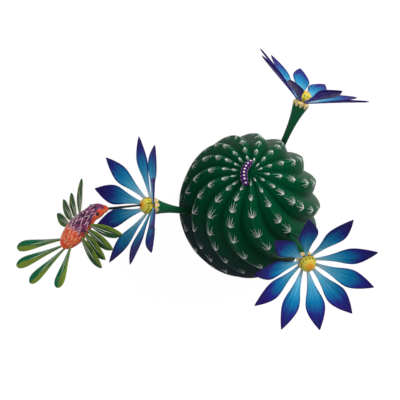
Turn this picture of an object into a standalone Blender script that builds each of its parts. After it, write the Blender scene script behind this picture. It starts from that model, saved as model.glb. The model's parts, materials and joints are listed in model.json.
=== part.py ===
"""A carved and painted wooden barrel cactus with three plugged-in flowers and a hummingbird.

Every piece is one object. Sizes are in metres, +Z is up, the origin is the middle of the flat base
and -Y is the side that faces the viewer. Each flower has a dowel peg that slides in a socket of the
cactus, and turns on that peg. The hummingbird's beak slides in the left flower's centre, and the bird
turns on its beak.
"""

from collections import namedtuple
from math import acos, asin, atan2, cos, exp, pi, radians, sin

import bmesh
import bpy
from mathutils import Matrix, Quaternion, Vector

# Cactus body: an oval with swirling ribs, cut flat below
CACTUS_RADIUS = 0.065
CACTUS_HALF_HEIGHT = 0.076
CACTUS_WAIST_HEIGHT = 0.057
RIB_COUNT = 14
RIB_DEPTH = 0.0075
RIB_FIRST_CREST = radians(-85)
RIB_DRIFT = radians(6.7)
RIB_DRIFT_START = radians(-22)
RIB_FADE_POWER = 0.7
RIB_CREST_POWER = 1.3
SWIRL_START = radians(26)
SWIRL_RATE = 0.52
CROWN_DIP = 0.005
CROWN_DIP_SPREAD = radians(20)
CROWN_SHIFT = Vector((-0.0015, -0.0046, 0))
CROWN_SHIFT_SPREAD = radians(49)
STEPS_PER_RIB = 6
BODY_RINGS = 27

# Fits between pieces
GLUE_GAP = 0.0003
PEG_CLEARANCE = 0.0003
SOCKET_CLEARANCE = 0.0004
BEAK_CLEARANCE = 0.0003
MERGE = 0.00001

# Flower pegs and stems
PEG_RADIUS = 0.0015
PEG_IN_STEM = 0.012
PEG_IN_CACTUS = 0.014
PEG_CHAMFER = 0.0004
SOCKET_DEPTH = 0.004
BORE_SPARE = 0.001
STEM_ROOT_RADIUS = 0.0028
STEM_FLARE_POWER = 2.8
CALYX_RADIUS = 0.008
TURN_STEPS = 16
FLARE_STEPS = 7

# Petals and flower centres
PETAL_REACH = 0.063
PETAL_OPENING = radians(63)
PETAL_WIDTH = 0.0174
PETAL_THICKNESS = 0.0015
PETAL_CUP = 0.0013
PETAL_BOW = 0.0015
PETAL_MOUTH = 0.0068
PETAL_ROOT = 0.0046
PETAL_COLUMNS = 4
PETAL_OUTLINE = (
    (0.073, 0.07), (0.20, 0.19), (0.33, 0.36), (0.44, 0.59), (0.54, 0.85),
    (0.64, 1.00), (0.74, 0.91), (0.87, 0.55), (1.00, 0.04),
)
LIFT_ROOM = 0.00035
CENTRE_RADIUS = 0.0068
CENTRE_RISE = 0.0058
CENTRE_WAIST_HEIGHT = 0.0068
CENTRE_PLUG_RADIUS = 0.0031
CENTRE_ARC_STEPS = 6

# Hummingbird. Each wing feather has its seat's share of the body, its sweep in degrees towards the head
# and its length; each tail feather has its fan angle and length
BEAK_AZIMUTH = radians(202)
BEAK_ELEVATION = radians(26)
BEAK_ENTRY_HEIGHT = 0.0105
BEAK_LENGTH_SEEN = 0.0366
BEAK_IN_FLOWER = 0.005
BEAK_IN_HEAD = 0.006
BEAK_TIP_RADIUS = 0.0008
BEAK_BASE_RADIUS = 0.0013
BIRD_LENGTH = 0.053
BIRD_RADIUS = 0.0097
BIRD_AZIMUTH = radians(226)
BIRD_ELEVATION = radians(-24)
BIRD_ROLL = radians(16)
NECK_END = 0.45
BIRD_OUTLINE = (
    (0.00, 0.29), (0.06, 0.42), (0.13, 0.62), (0.21, 0.70), (0.30, 0.70), (0.42, 0.84),
    (0.57, 1.00), (0.74, 0.96), (0.88, 0.76), (0.96, 0.50), (1.00, 0.26),
)
WING_WIDTH = 0.0100
RIGHT_WING = ((0.42, 24, 0.033), (0.50, 3, 0.032), (0.58, -10, 0.032), (0.67, -14, 0.035))
LEFT_WING = ((0.42, 34, 0.044), (0.50, 21, 0.035), (0.58, 12, 0.035), (0.67, -3, 0.028))
WING_DROP = radians(-15)
WING_CURVE = 0.24
WING_SHINGLE = radians(23)
TAIL = ((-45, 0.050), (-32, 0.050), (-8, 0.045), (27, 0.039))
TAIL_WIDTH = 0.0105
TAIL_SPACING = 0.0042
FEATHER_THICKNESS = 0.0013
FEATHER_TANG = 0.0024
FEATHER_COLUMNS = 2
WING_OUTLINE = (
    (0.00, 0.26), (0.08, 0.30), (0.34, 0.80), (0.58, 1.00), (0.78, 0.82), (0.92, 0.45), (1.00, 0.06),
)
TAIL_OUTLINE = (
    (0.00, 0.17), (0.08, 0.19), (0.40, 0.53), (0.68, 0.92), (0.84, 1.00), (0.95, 0.74), (1.00, 0.24),
)

# Grub on the crown
GRUB_RADIUS = 0.0032
GRUB_SEGMENTS = 8
GRUB_TAIL = (-0.0002, 0.0049)
GRUB_BEND = (-0.0116, -0.0052)
GRUB_HEAD = (-0.0055, -0.0197)

# Each flower's seat on the cactus and the way its stem points, in whole degrees, its stem's length, and
# each petal's turn about the stem with its lift beyond the common opening, as they were set by hand
Flower = namedtuple("Flower", "name polar around azimuth elevation stem_length petals")
FLOWERS = (
    Flower("front_flower", 65, -53, -72, 30, 0.0415, (
        (33, 0), (68, -1), (101, 1), (139, -1), (177, 1),
        (209, 1), (241, -2), (277, -1), (318, 4), (359, 2))),
    Flower("left_flower", 72, 197, 191, 34, 0.0374, (
        (30, 4), (61, 6), (104, -4), (138, -2), (171, 5),
        (216, 4), (259, -1), (285, 5), (309, -3), (352, -7))),
    Flower("back_flower", 71, 59, 61, 34, 0.0424, (
        (41, 0), (88, 0), (139, 3), (178, 5), (206, 0),
        (243, -1), (285, -4), (311, 1), (355, 10))),
)
BEAK_FLOWER = "left_flower"

GREEN = (0.012, 0.085, 0.045)
DARK_GREEN = (0.008, 0.060, 0.030)
PURPLE = (0.150, 0.040, 0.260)
YELLOW = (0.700, 0.560, 0.060)
BLUE = (0.030, 0.160, 0.480)
BARE_WOOD = (0.420, 0.270, 0.140)
BLACK = (0.008, 0.008, 0.008)
ORANGE = (0.600, 0.100, 0.030)
OLIVE = (0.060, 0.130, 0.030)


def start_scene():
    """An empty scene with one collection for the parts and one for the cutters."""
    for obj in list(bpy.data.objects):
        bpy.data.objects.remove(obj)
    made = []
    for name in ("Alebrije cactus", "Cutters"):
        collection = bpy.data.collections.new(name)
        bpy.context.scene.collection.children.link(collection)
        made.append(collection)
    return made


PARTS, CUTTERS = start_scene()


def paint(name, colour):
    """A satin painted-wood material."""
    material = bpy.data.materials.new(name + "_paint")
    material.use_nodes = True
    shader = material.node_tree.nodes["Principled BSDF"]
    shader.inputs["Base Color"].default_value = (*colour, 1)
    shader.inputs["Roughness"].default_value = 0.45
    shader.inputs["Metallic"].default_value = 0
    return material


def add_part(name, data, colour, parent=None, matrix=Matrix()):
    """A part's object, placed by a matrix in its parent's frame."""
    obj = bpy.data.objects.new(name, data)
    PARTS.objects.link(obj)
    data.materials.append(paint(name, colour))
    obj.parent = parent
    obj.matrix_basis = matrix
    return obj


def add_cutter(name, mesh, parent=None, matrix=Matrix()):
    """A helper that only cuts: drawn as wire and never rendered."""
    obj = bpy.data.objects.new(name, mesh)
    CUTTERS.objects.link(obj)
    obj.parent = parent
    obj.matrix_basis = matrix
    obj.hide_render = True
    obj.display_type = "WIRE"
    return obj


def cut(obj, cutter):
    """Takes the cutter's shape out of the object."""
    boolean = obj.modifiers.new("Cut " + cutter.name, "BOOLEAN")
    boolean.operation = "DIFFERENCE"
    boolean.solver = "EXACT"
    boolean.object = cutter


def mesh_of(name, bm):
    mesh = bpy.data.meshes.new(name)
    bm.to_mesh(mesh)
    bm.free()
    mesh.shade_smooth()
    mesh.set_sharp_from_angle(angle=radians(40))
    return mesh


def profile_mesh(name, profile):
    """A line of (radius, height) points, top to bottom, ready to be turned about Z."""
    bm = bmesh.new()
    points = [bm.verts.new((radius, 0, height)) for radius, height in profile]
    for upper, lower in zip(points, points[1:]):
        bm.edges.new((upper, lower))
    return mesh_of(name, bm)


def turn(obj, steps=TURN_STEPS):
    """Turns an object's profile about its own Z axis."""
    screw = obj.modifiers.new("Turn", "SCREW")
    screw.axis = "Z"
    screw.steps = steps
    screw.render_steps = steps
    screw.use_merge_vertices = True
    screw.merge_threshold = MERGE
    return obj


def aim(origin, along, facing):
    """A frame whose Z points along and whose Y leans to facing."""
    z = Vector(along).normalized()
    y = Vector(facing)
    y = (y - y.dot(z) * z).normalized()
    x = y.cross(z)
    matrix = Matrix((x, y, z)).transposed().to_4x4()
    matrix.translation = origin
    return matrix


def direction(azimuth, elevation):
    return Vector((cos(elevation) * cos(azimuth), cos(elevation) * sin(azimuth), sin(elevation)))


def crown_shift(polar):
    """How far the hand-carved crown sits off the middle at that angle from it."""
    return CROWN_SHIFT * exp(-((polar / CROWN_SHIFT_SPREAD) ** 2))


def oval_point(polar, around, inset=0.0):
    """A point on the oval through the rib crests, or that far inside it along its normal."""
    out = Vector((sin(polar) / CACTUS_RADIUS, cos(polar) / CACTUS_HALF_HEIGHT)).normalized()
    dip = CROWN_DIP * exp(-((polar / CROWN_DIP_SPREAD) ** 2))
    radius = CACTUS_RADIUS * sin(polar) - inset * out.x
    height = CACTUS_WAIST_HEIGHT + CACTUS_HALF_HEIGHT * cos(polar) - dip - inset * out.y
    return Vector((radius * cos(around), radius * sin(around), height)) + crown_shift(polar)


def crown_height(flat):
    """The oval's height over a point near the middle of the plan."""
    polar = 0.0
    for _ in range(8):
        polar = asin((flat - crown_shift(polar)).length / CACTUS_RADIUS)
    return oval_point(polar, 0).z


def rib_heading(around, polar):
    """The way a rib points at that angle from the crown: unevenly spaced by hand, then swirling."""
    start = around + RIB_FIRST_CREST
    return start + RIB_DRIFT * sin(start - RIB_DRIFT_START) + SWIRL_RATE * max(polar - SWIRL_START, 0) ** 2


def cactus_body():
    """A sphere whose rings are drawn onto the oval: peaked crests, sharp valleys, flat base."""
    base_polar = acos(-CACTUS_WAIST_HEIGHT / CACTUS_HALF_HEIGHT)
    bm = bmesh.new()
    bmesh.ops.create_uvsphere(bm, u_segments=RIB_COUNT * STEPS_PER_RIB, v_segments=BODY_RINGS, radius=1)
    for vert in bm.verts:
        ring = round(acos(max(-1, min(1, vert.co.z))) / pi * BODY_RINGS)
        if ring == BODY_RINGS:
            vert.co = (0, 0, 0)
            continue
        polar = base_polar * ring / (BODY_RINGS - 1)
        around = atan2(vert.co.y, vert.co.x)
        rib = around * RIB_COUNT / (2 * pi)
        valley = (2 * abs(rib - round(rib))) ** RIB_CREST_POWER
        inset = RIB_DEPTH * valley * sin(polar) ** RIB_FADE_POWER
        vert.co = oval_point(polar, rib_heading(around, polar), inset)
        if ring == BODY_RINGS - 1:
            vert.co.z = 0
    return add_part("cactus_body", mesh_of("cactus_body", bm), GREEN)


def grub():
    """A wavy segmented tube that lies over the rib crests of the crown."""
    tail, bend, head = (Vector((*p, 0)) for p in (GRUB_TAIL, GRUB_BEND, GRUB_HEAD))
    curve = bpy.data.curves.new("grub", "CURVE")
    curve.dimensions = "3D"
    curve.bevel_depth = GRUB_RADIUS
    curve.bevel_resolution = 2
    curve.use_fill_caps = True
    count = 3 * GRUB_SEGMENTS + 1
    spline = curve.splines.new("POLY")
    spline.points.add(count - 1)
    for index, point in enumerate(spline.points):
        share = index / (count - 1)
        flat = (1 - share) ** 2 * tail + 2 * share * (1 - share) * bend + share**2 * head
        height = crown_height(flat) + GRUB_RADIUS + GLUE_GAP
        ends = min(1, 0.45 + 5 * share, 0.45 + 5 * (1 - share))
        swell = 0.80 + 0.20 * abs(sin(pi * share * GRUB_SEGMENTS))
        point.co = (flat.x, flat.y, height, 1)
        point.radius = ends * swell
    return add_part("grub", curve, PURPLE)


def blade_mesh(name, outline, columns, length, width, cup, bow, curve=0.0):
    """A leaf-shaped surface along Z: X is its width and +Y the face that it cups towards."""
    rows = len(outline) - 1
    bm = bmesh.new()
    bmesh.ops.create_grid(bm, x_segments=columns, y_segments=rows, size=0.5)
    for vert in bm.verts:
        across = 2 * vert.co.x
        share, full = outline[round((vert.co.y + 0.5) * rows)]
        middle = curve * share**2 * (share - 1)
        lift = cup * full * across**2 - bow * share**2
        vert.co = (middle + across * full * width / 2, lift, share * length)
    bmesh.ops.recalc_face_normals(bm, faces=bm.faces)
    return mesh_of(name, bm)


def thicken(obj, thickness):
    solidify = obj.modifiers.new("Thickness", "SOLIDIFY")
    solidify.thickness = thickness
    solidify.offset = 0
    return obj


def calyx_sizes():
    """The (radius, height) ends of the seat under the petal roots, and of the centre's underside."""
    along = Vector((sin(PETAL_OPENING), cos(PETAL_OPENING)))
    off = Vector((-cos(PETAL_OPENING), sin(PETAL_OPENING)))
    room = PETAL_THICKNESS / 2 + GLUE_GAP + LIFT_ROOM
    inner, outer = (PETAL_ROOT - GLUE_GAP) * along, PETAL_MOUTH * along
    return inner - room * off, outer - room * off, inner + room * off, outer + room * off


def flower_frame(flower):
    """The frame of a flower, where its petals' lines meet on the stem's axis, with Z along the stem."""
    azimuth, elevation = radians(flower.azimuth), radians(flower.elevation)
    along = direction(azimuth, elevation)
    seat = oval_point(radians(flower.polar), radians(flower.around), RIB_DEPTH / 3)
    return aim(seat + flower.stem_length * along, along, (sin(azimuth), -cos(azimuth), 0))


def stem(flower, axis):
    """A trumpet with a seat for the petals on top and a blind hole for its peg below."""
    seat_in, seat_out, _, _ = calyx_sizes()
    root = GLUE_GAP - flower.stem_length - SOCKET_DEPTH
    hole_top = root + PEG_IN_STEM + PEG_CLEARANCE
    hole_radius = PEG_RADIUS + PEG_CLEARANCE
    flare = []
    for step in range(FLARE_STEPS + 1):
        share = (1 - step / FLARE_STEPS) ** 0.7
        radius = STEM_ROOT_RADIUS + (CALYX_RADIUS - STEM_ROOT_RADIUS) * share**STEM_FLARE_POWER
        flare.append((radius, root * (1 - share)))
    top = [(0, seat_in.y), tuple(seat_in), tuple(seat_out)]
    hole = [(hole_radius, root), (hole_radius, hole_top), (0, hole_top)]
    mesh = profile_mesh(flower.name + "_stem", top + flare + hole)
    return turn(add_part(flower.name + "_stem", mesh, DARK_GREEN, axis))


def centre(flower, axis):
    """A domed knob whose cone-shaped underside holds the petal roots down."""
    seat_in, _, under_in, under_out = calyx_sizes()
    low = asin((under_out.y - CENTRE_WAIST_HEIGHT) / CENTRE_RISE)
    dome = []
    for step in range(CENTRE_ARC_STEPS + 1):
        angle = pi / 2 + (low - pi / 2) * step / CENTRE_ARC_STEPS
        dome.append((CENTRE_RADIUS * cos(angle), CENTRE_WAIST_HEIGHT + CENTRE_RISE * sin(angle)))
    dome[0] = (0, dome[0][1])
    bottom = seat_in.y + GLUE_GAP
    slope = (under_out.y - under_in.y) / (under_out.x - under_in.x)
    plug_top = under_in.y + slope * (CENTRE_PLUG_RADIUS - under_in.x)
    plug = [(CENTRE_PLUG_RADIUS, plug_top), (CENTRE_PLUG_RADIUS, bottom), (0, bottom)]
    mesh = profile_mesh(flower.name + "_centre", dome + plug)
    return turn(add_part(flower.name + "_centre", mesh, YELLOW, axis))


def peg(flower, axis):
    """The dowel: half in the stem's hole, half in the socket of the cactus."""
    root = GLUE_GAP - flower.stem_length - SOCKET_DEPTH
    top, bottom = root + PEG_IN_STEM, root - PEG_IN_CACTUS
    shoulder = PEG_RADIUS - PEG_CHAMFER
    profile = [
        (0, top), (shoulder, top), (PEG_RADIUS, top - PEG_CHAMFER),
        (PEG_RADIUS, bottom + PEG_CHAMFER), (shoulder, bottom), (0, bottom),
    ]
    mesh = profile_mesh(flower.name + "_peg", profile)
    return turn(add_part(flower.name + "_peg", mesh, BARE_WOOD, axis), 12)


def socket_cutter(flower, axis):
    """The stepped hole in the cactus: a seat for the stem's root and a bore for the peg."""
    floor = -flower.stem_length - SOCKET_DEPTH
    mouth = floor + 4 * SOCKET_DEPTH
    end = floor - PEG_IN_CACTUS - BORE_SPARE
    seat_radius = STEM_ROOT_RADIUS + SOCKET_CLEARANCE
    bore_radius = PEG_RADIUS + PEG_CLEARANCE
    profile = [
        (0, mouth), (seat_radius, mouth), (seat_radius, floor),
        (bore_radius, floor), (bore_radius, end), (0, end),
    ]
    return turn(add_cutter(flower.name + "_socket", profile_mesh(flower.name + "_socket", profile), axis))


def petal(flower, axis, number, turned, lifted):
    """One petal: its root lies in the calyx and its face looks to the flower's axis."""
    outward = Vector((cos(turned), sin(turned), 0))
    up = Vector((0, 0, 1))
    opening = PETAL_OPENING + lifted
    mouth = PETAL_MOUTH * (sin(PETAL_OPENING) * outward + cos(PETAL_OPENING) * up)
    along = sin(opening) * outward + cos(opening) * up
    inner_face = sin(opening) * up - cos(opening) * outward
    name = f"{flower.name}_petal_{number:02d}"
    mesh = blade_mesh(name, PETAL_OUTLINE, PETAL_COLUMNS, PETAL_REACH, PETAL_WIDTH, PETAL_CUP, PETAL_BOW)
    matrix = aim(mouth - PETAL_MOUTH * along, along, inner_face)
    return thicken(add_part(name, mesh, BLUE, axis, matrix), PETAL_THICKNESS)


def flowers(body):
    """All flowers, plugged into the cactus. Returns each flower's frame and centre."""
    made = {}
    for flower in FLOWERS:
        axis = bpy.data.objects.new(flower.name + "_axis", None)
        PARTS.objects.link(axis)
        axis.matrix_basis = flower_frame(flower)
        cut(body, socket_cutter(flower, axis))
        peg(flower, axis)
        stem(flower, axis)
        made[flower.name] = (axis, centre(flower, axis))
        for number, (turned, lifted) in enumerate(flower.petals, 1):
            petal(flower, axis, number, radians(turned), radians(lifted))
    return made


def bird_spine(count):
    """Points and directions along the bird, from the beak's base to the rump, bending at the neck."""
    start, end = direction(BEAK_AZIMUTH, BEAK_ELEVATION), direction(BIRD_AZIMUTH, BIRD_ELEVATION)
    bend = start.rotation_difference(end)
    point = Vector((0, 0, 0))
    made = []
    for step in range(count + 1):
        share = min(1, step / count / NECK_END)
        ease = share * share * (3 - 2 * share)
        way = Quaternion().slerp(bend, ease) @ start
        made.append((point.copy(), way))
        point += way * (BIRD_LENGTH / count)
    return made


def outline_at(outline, share):
    """The outline's value between its stations."""
    for (low, first), (high, second) in zip(outline, outline[1:]):
        if share <= high:
            return first + (second - first) * (share - low) / (high - low)
    return outline[-1][1]


SPINE_STEPS = 100


def rump_step(half_width):
    """The last step along the spine where the rump is still that wide."""
    for step in range(SPINE_STEPS, 0, -1):
        if BIRD_RADIUS * outline_at(BIRD_OUTLINE, step / SPINE_STEPS) >= half_width:
            return step
    return 0


def bird_body(head):
    """The carved body, swept along its spine from the head's front at the given point."""
    spine = bird_spine(SPINE_STEPS)
    curve = bpy.data.curves.new("bird_sweep", "CURVE")
    curve.dimensions = "3D"
    curve.bevel_depth = BIRD_RADIUS
    curve.bevel_resolution = 4
    curve.use_fill_caps = True
    spline = curve.splines.new("POLY")
    spline.points.add(len(BIRD_OUTLINE) - 1)
    for point, (share, full) in zip(spline.points, BIRD_OUTLINE):
        point.co = (*(head + spine[round(share * SPINE_STEPS)][0]), 1)
        point.radius = full
    swept = bpy.data.objects.new("bird_sweep", curve)
    CUTTERS.objects.link(swept)
    bpy.context.view_layer.update()
    mesh = bpy.data.meshes.new_from_object(swept.evaluated_get(bpy.context.evaluated_depsgraph_get()))
    bpy.data.objects.remove(swept)
    bm = bmesh.new()
    bm.from_mesh(mesh)
    bmesh.ops.remove_doubles(bm, verts=bm.verts, dist=MERGE)
    bmesh.ops.recalc_face_normals(bm, faces=bm.faces)
    return mesh_of("hummingbird_body", bm)


def feather_seats(head):
    """(name, outline, length, width, curve, frame) of each feather, its frame's Z along the feather."""
    spine = bird_spine(SPINE_STEPS)
    back = direction(BIRD_AZIMUTH, BIRD_ELEVATION)
    level_right = Vector((0, 0, 1)).cross(back).normalized()
    roll = Quaternion(back, BIRD_ROLL)
    right = roll @ level_right
    up = back.cross(right)
    for side, wing in (("right", RIGHT_WING), ("left", LEFT_WING)):
        out = right if side == "right" else -right
        for number, (share, sweep, length) in enumerate(wing, 1):
            tilt = radians(sweep)
            along = cos(WING_DROP) * (cos(tilt) * out - sin(tilt) * back) + sin(WING_DROP) * up
            radius = BIRD_RADIUS * outline_at(BIRD_OUTLINE, share)
            root = head + spine[round(share * SPINE_STEPS)][0] + radius * out - FEATHER_TANG * along
            front = along.cross(up) if side == "right" else up.cross(along)
            facing = cos(WING_SHINGLE) * up + sin(WING_SHINGLE) * front.normalized()
            bend = (WING_CURVE if side == "right" else -WING_CURVE) * length
            name = f"{side}_wing_feather_{number}"
            yield name, WING_OUTLINE, length, WING_WIDTH, bend, aim(root, along, facing)
    for number, (fan, length) in enumerate(TAIL, 1):
        along = cos(radians(fan)) * back + sin(radians(fan)) * right
        offset = (number - (len(TAIL) + 1) / 2) * TAIL_SPACING
        step = rump_step(abs(offset))
        root = head + spine[step][0] + offset * right - FEATHER_TANG * along
        yield f"tail_feather_{number}", TAIL_OUTLINE, length, TAIL_WIDTH, 0.0, aim(root, along, up)


def hummingbird(flower_axis, flower_centre):
    """The bird, on a beak that is plugged into the flower's centre."""
    along = direction(BEAK_AZIMUTH, BEAK_ELEVATION)
    entry = flower_axis.matrix_basis @ Vector((0, 0, BEAK_ENTRY_HEIGHT))
    axis = bpy.data.objects.new("beak_axis", None)
    PARTS.objects.link(axis)
    axis.matrix_basis = aim(entry, along, (0, 0, 1))
    to_axis = axis.matrix_basis.inverted()

    tip, base = -BEAK_IN_FLOWER, BEAK_LENGTH_SEEN + BEAK_IN_HEAD
    profile = [(0, base), (BEAK_BASE_RADIUS, base), (BEAK_TIP_RADIUS, tip), (0, tip)]
    turn(add_part("beak", profile_mesh("beak", profile), BLACK, axis), 12)
    flower_hole = BEAK_TIP_RADIUS + BEAK_CLEARANCE
    drill = [
        (0, BEAK_LENGTH_SEEN / 3), (flower_hole, BEAK_LENGTH_SEEN / 3),
        (flower_hole, tip - BEAK_CLEARANCE), (0, tip - BEAK_CLEARANCE),
    ]
    cut(flower_centre, turn(add_cutter("beak_hole", profile_mesh("beak_hole", drill), axis), 12))

    head = entry + BEAK_LENGTH_SEEN * along
    body = add_part("hummingbird_body", bird_body(head), ORANGE, axis, to_axis)
    head_hole = BEAK_BASE_RADIUS + BEAK_CLEARANCE
    drill = [
        (0, base + BEAK_CLEARANCE), (head_hole, base + BEAK_CLEARANCE),
        (head_hole, BEAK_LENGTH_SEEN / 2), (0, BEAK_LENGTH_SEEN / 2),
    ]
    cut(body, turn(add_cutter("head_hole", profile_mesh("head_hole", drill), axis), 12))

    slots = bmesh.new()
    for name, outline, length, width, bend, frame in feather_seats(head):
        mesh = blade_mesh(name, outline, FEATHER_COLUMNS, length, width, 0.0, 0.0, bend)
        thicken(add_part(name, mesh, OLIVE, axis, to_axis @ frame), FEATHER_THICKNESS)
        tang_width = outline_at(outline, FEATHER_TANG / length) * width
        size = (tang_width + 2 * GLUE_GAP, FEATHER_THICKNESS + 2 * GLUE_GAP, 3 * FEATHER_TANG)
        middle = Matrix.Translation((0, 0, 1.5 * FEATHER_TANG - GLUE_GAP))
        bmesh.ops.create_cube(slots, size=1, matrix=frame @ middle @ Matrix.Diagonal((*size, 1)))
    cut(body, add_cutter("feather_slots", mesh_of("feather_slots", slots), axis, to_axis))


def main():
    body = cactus_body()
    grub()
    axis, flower_centre = flowers(body)[BEAK_FLOWER]
    hummingbird(axis, flower_centre)


main()
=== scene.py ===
"""The painted looks of a carved wooden cactus with three flowers and a hummingbird.

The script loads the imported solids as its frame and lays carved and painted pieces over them, in the same
places. Lengths are in metres, +Z is up and -Y is the side that faces the viewer.
"""

import json
from collections import namedtuple
from math import asin, atan, cos, exp, pi, radians, sin, tau
from random import Random

import bmesh
import bpy
from bpy.props import FloatProperty, FloatVectorProperty, IntProperty, PointerProperty
from mathutils import Matrix, Quaternion, Vector


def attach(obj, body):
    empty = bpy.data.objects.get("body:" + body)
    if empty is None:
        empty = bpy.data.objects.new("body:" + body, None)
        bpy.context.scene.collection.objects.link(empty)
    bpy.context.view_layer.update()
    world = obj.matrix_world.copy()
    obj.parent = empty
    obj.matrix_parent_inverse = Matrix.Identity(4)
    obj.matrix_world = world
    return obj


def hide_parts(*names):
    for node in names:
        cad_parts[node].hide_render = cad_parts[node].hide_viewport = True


bl_info = {
    "name": "Painted cactus ornament",
    "version": (1, 0, 0),
    "blender": (4, 5, 0),
    "location": "3D View > Sidebar > Ornament",
    "description": "Carves and paints the cactus, its flowers, its grub and its hummingbird",
    "category": "Object",
}

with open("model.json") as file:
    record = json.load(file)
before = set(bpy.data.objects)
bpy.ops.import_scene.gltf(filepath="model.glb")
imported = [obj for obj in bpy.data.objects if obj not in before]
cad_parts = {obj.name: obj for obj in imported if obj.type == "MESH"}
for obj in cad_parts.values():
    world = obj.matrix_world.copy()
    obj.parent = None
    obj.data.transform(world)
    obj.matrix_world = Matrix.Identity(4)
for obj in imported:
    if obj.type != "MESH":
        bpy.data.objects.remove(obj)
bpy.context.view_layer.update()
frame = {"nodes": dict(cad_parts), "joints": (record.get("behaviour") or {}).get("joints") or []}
JOINTS = {joint["name"]: joint for joint in frame["joints"]}
UP = Vector((0, 0, 1))

# The cactus: the same oval, swirl and crown as its solid
CACTUS_RADIUS = 0.065
CACTUS_HALF_HEIGHT = 0.076
CACTUS_WAIST_HEIGHT = 0.057
RIB_COUNT = 14
RIB_DEPTH = 0.0075
RIB_FIRST_CREST = radians(-85)
RIB_DRIFT = radians(6.7)
RIB_DRIFT_START = radians(-22)
RIB_FADE_POWER = 0.7
RIB_CREST_POWER = 1.3
SWIRL_START = radians(26)
SWIRL_RATE = 0.52
CROWN_DIP = 0.005
CROWN_DIP_SPREAD = radians(20)
CROWN_SHIFT = Vector((-0.0015, -0.0046, 0))
CROWN_SHIFT_SPREAD = radians(49)

# Sockets in the cactus for the stems and their pegs, and how far a cutter stands out of what it cuts
SOCKET_DEPTH = 0.004
SOCKET_RADIUS = 0.0032
BORE_DEPTH = 0.015
BORE_RADIUS = 0.0018
CUTTER_REACH = 0.012

# Spine clusters that were painted, clear of the sockets: each rib's angles from the crown, in degrees. Below
# the last one they go on in even steps
SPINE_ANGLES = (
    (12, 25, 39, 55, 68, 83), (9, 20, 33, 48, 60, 82), (13, 23, 32, 44, 54), (15, 25, 37, 52),
    (10, 18, 29, 42), (10, 18, 28, 40), (13, 22, 33), (15, 24, 34), (16, 24, 38, 49), (15, 24, 34, 48),
    (15, 23, 36, 52, 64, 88),
    (16, 24, 37, 50, 63, 75, 86, 95, 105), (18, 25, 38, 52, 65, 76, 86, 98), (18, 28, 38, 50, 62, 76, 89),
)
SPINE_STEP = 12
SPINE_LAST = 114

# A cluster is small at the crown, full from one angle on, and grows smaller again towards the foot
CROWN_SPINE_SIZE = 0.30
FULL_SPINE_ANGLE = 45
FOOT_SPINE_ANGLE = 70
FOOT_SPINE_LOSS = 0.25

# Flowers: stems, petals and centres, and each petal's turn and lift in degrees, as in their solids
STEM_ROOT_RADIUS = 0.0028
STEM_FLARE_POWER = 2.8
PEG_HOLE_RADIUS = 0.0018
PEG_HOLE_DEPTH = 0.0123
CALYX_RADIUS = 0.008
PETAL_OPENING = radians(63)
PETAL_MOUTH = 0.0068
PETAL_ROOT = 0.0043
PETAL_ROOM = 0.0014
CENTRE_RADIUS = 0.0068
CENTRE_RISE = 0.0058
CENTRE_WAIST_HEIGHT = 0.0068
CENTRE_PLUG_RADIUS = 0.0031
STAMENS = 14
STAMEN_ANGLE = radians(-8)
SEED_ANGLE = radians(14)
STAMEN_HEIGHT = 0.7
GLUE_GAP = 0.0003
STEM_LENGTHS = {"front_flower": 0.0415, "left_flower": 0.0374, "back_flower": 0.0424}
FLOWER_PETALS = {
    "front_flower": (
        (33, 0), (68, -1), (101, 1), (139, -1), (177, 1),
        (209, 1), (241, -2), (277, -1), (318, 4), (359, 2)),
    "left_flower": (
        (30, 4), (61, 6), (104, -4), (138, -2), (171, 5),
        (216, 4), (259, -1), (285, 5), (309, -3), (352, -7)),
    "back_flower": (
        (41, 0), (88, 0), (139, 3), (178, 5), (206, 0),
        (243, -1), (285, -4), (311, 1), (355, 10)),
}

# Leaf-shaped pieces: their outlines give the share of the full width along the length
Blade = namedtuple("Blade", "outline length width thickness cup bow curve")
PETAL_OUTLINE = (
    (0.073, 0.07), (0.20, 0.19), (0.33, 0.36), (0.44, 0.59), (0.54, 0.85),
    (0.64, 1.00), (0.74, 0.91), (0.87, 0.55), (1.00, 0.04),
)
WING_OUTLINE = (
    (0.00, 0.26), (0.08, 0.30), (0.34, 0.80), (0.58, 1.00), (0.78, 0.82), (0.92, 0.45), (1.00, 0.06),
)
TAIL_OUTLINE = (
    (0.00, 0.17), (0.08, 0.19), (0.40, 0.53), (0.68, 0.92), (0.84, 1.00), (0.95, 0.74), (1.00, 0.24),
)
PETAL_BLADE = Blade(PETAL_OUTLINE, 0.063, 0.0174, 0.0015, 0.0013, 0.0015, 0)

# How a blade is rounded off: its rows crowd towards the tip, where it is thin, and its edges are round
BLADE_CROWDING = 1.3
BLADE_LEAST_WIDTH = 0.03
BLADE_TIP_THICKNESS = 0.35
BLADE_TIP_RISE = 14
BLADE_EDGE_POWER = 6

# Hummingbird, as in its solids: wings hold (share of the body, sweep in degrees, length) and the tail
# holds (fan in degrees, length). Rows of brush marks are shares of the body, their angles go over its top
BEAK_SEEN = 0.0366
BEAK_IN_FLOWER = 0.005
BEAK_IN_HEAD = 0.006
BEAK_TIP_RADIUS = 0.0008
BEAK_BASE_RADIUS = 0.0013
BEAK_CLEARANCE = 0.0003
BIRD_LENGTH = 0.053
BIRD_RADIUS = 0.0097
BIRD_AZIMUTH = radians(226)
BIRD_ELEVATION = radians(-24)
BIRD_ROLL = radians(16)
NECK_END = 0.45
EYE_SHARE = 0.215
EYE_ANGLES = (28, 152)
EYE_HEIGHT = 0.45
LINE_ROWS = (0.22, 0.31, 0.41, 0.50, 0.58)
LINE_ANGLES = range(36, 150, 32)
FLUFF_ROWS = (0.64, 0.70, 0.76, 0.82, 0.87)
FLUFF_ANGLES = range(16, 165, 26)
LINE_STROKES = 2
FLUFF_STROKES = 3
MARK_SHIFT = 0.02
MARK_TURN = 0.25
MARK_SIZES = (0.7, 1.2)
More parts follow.
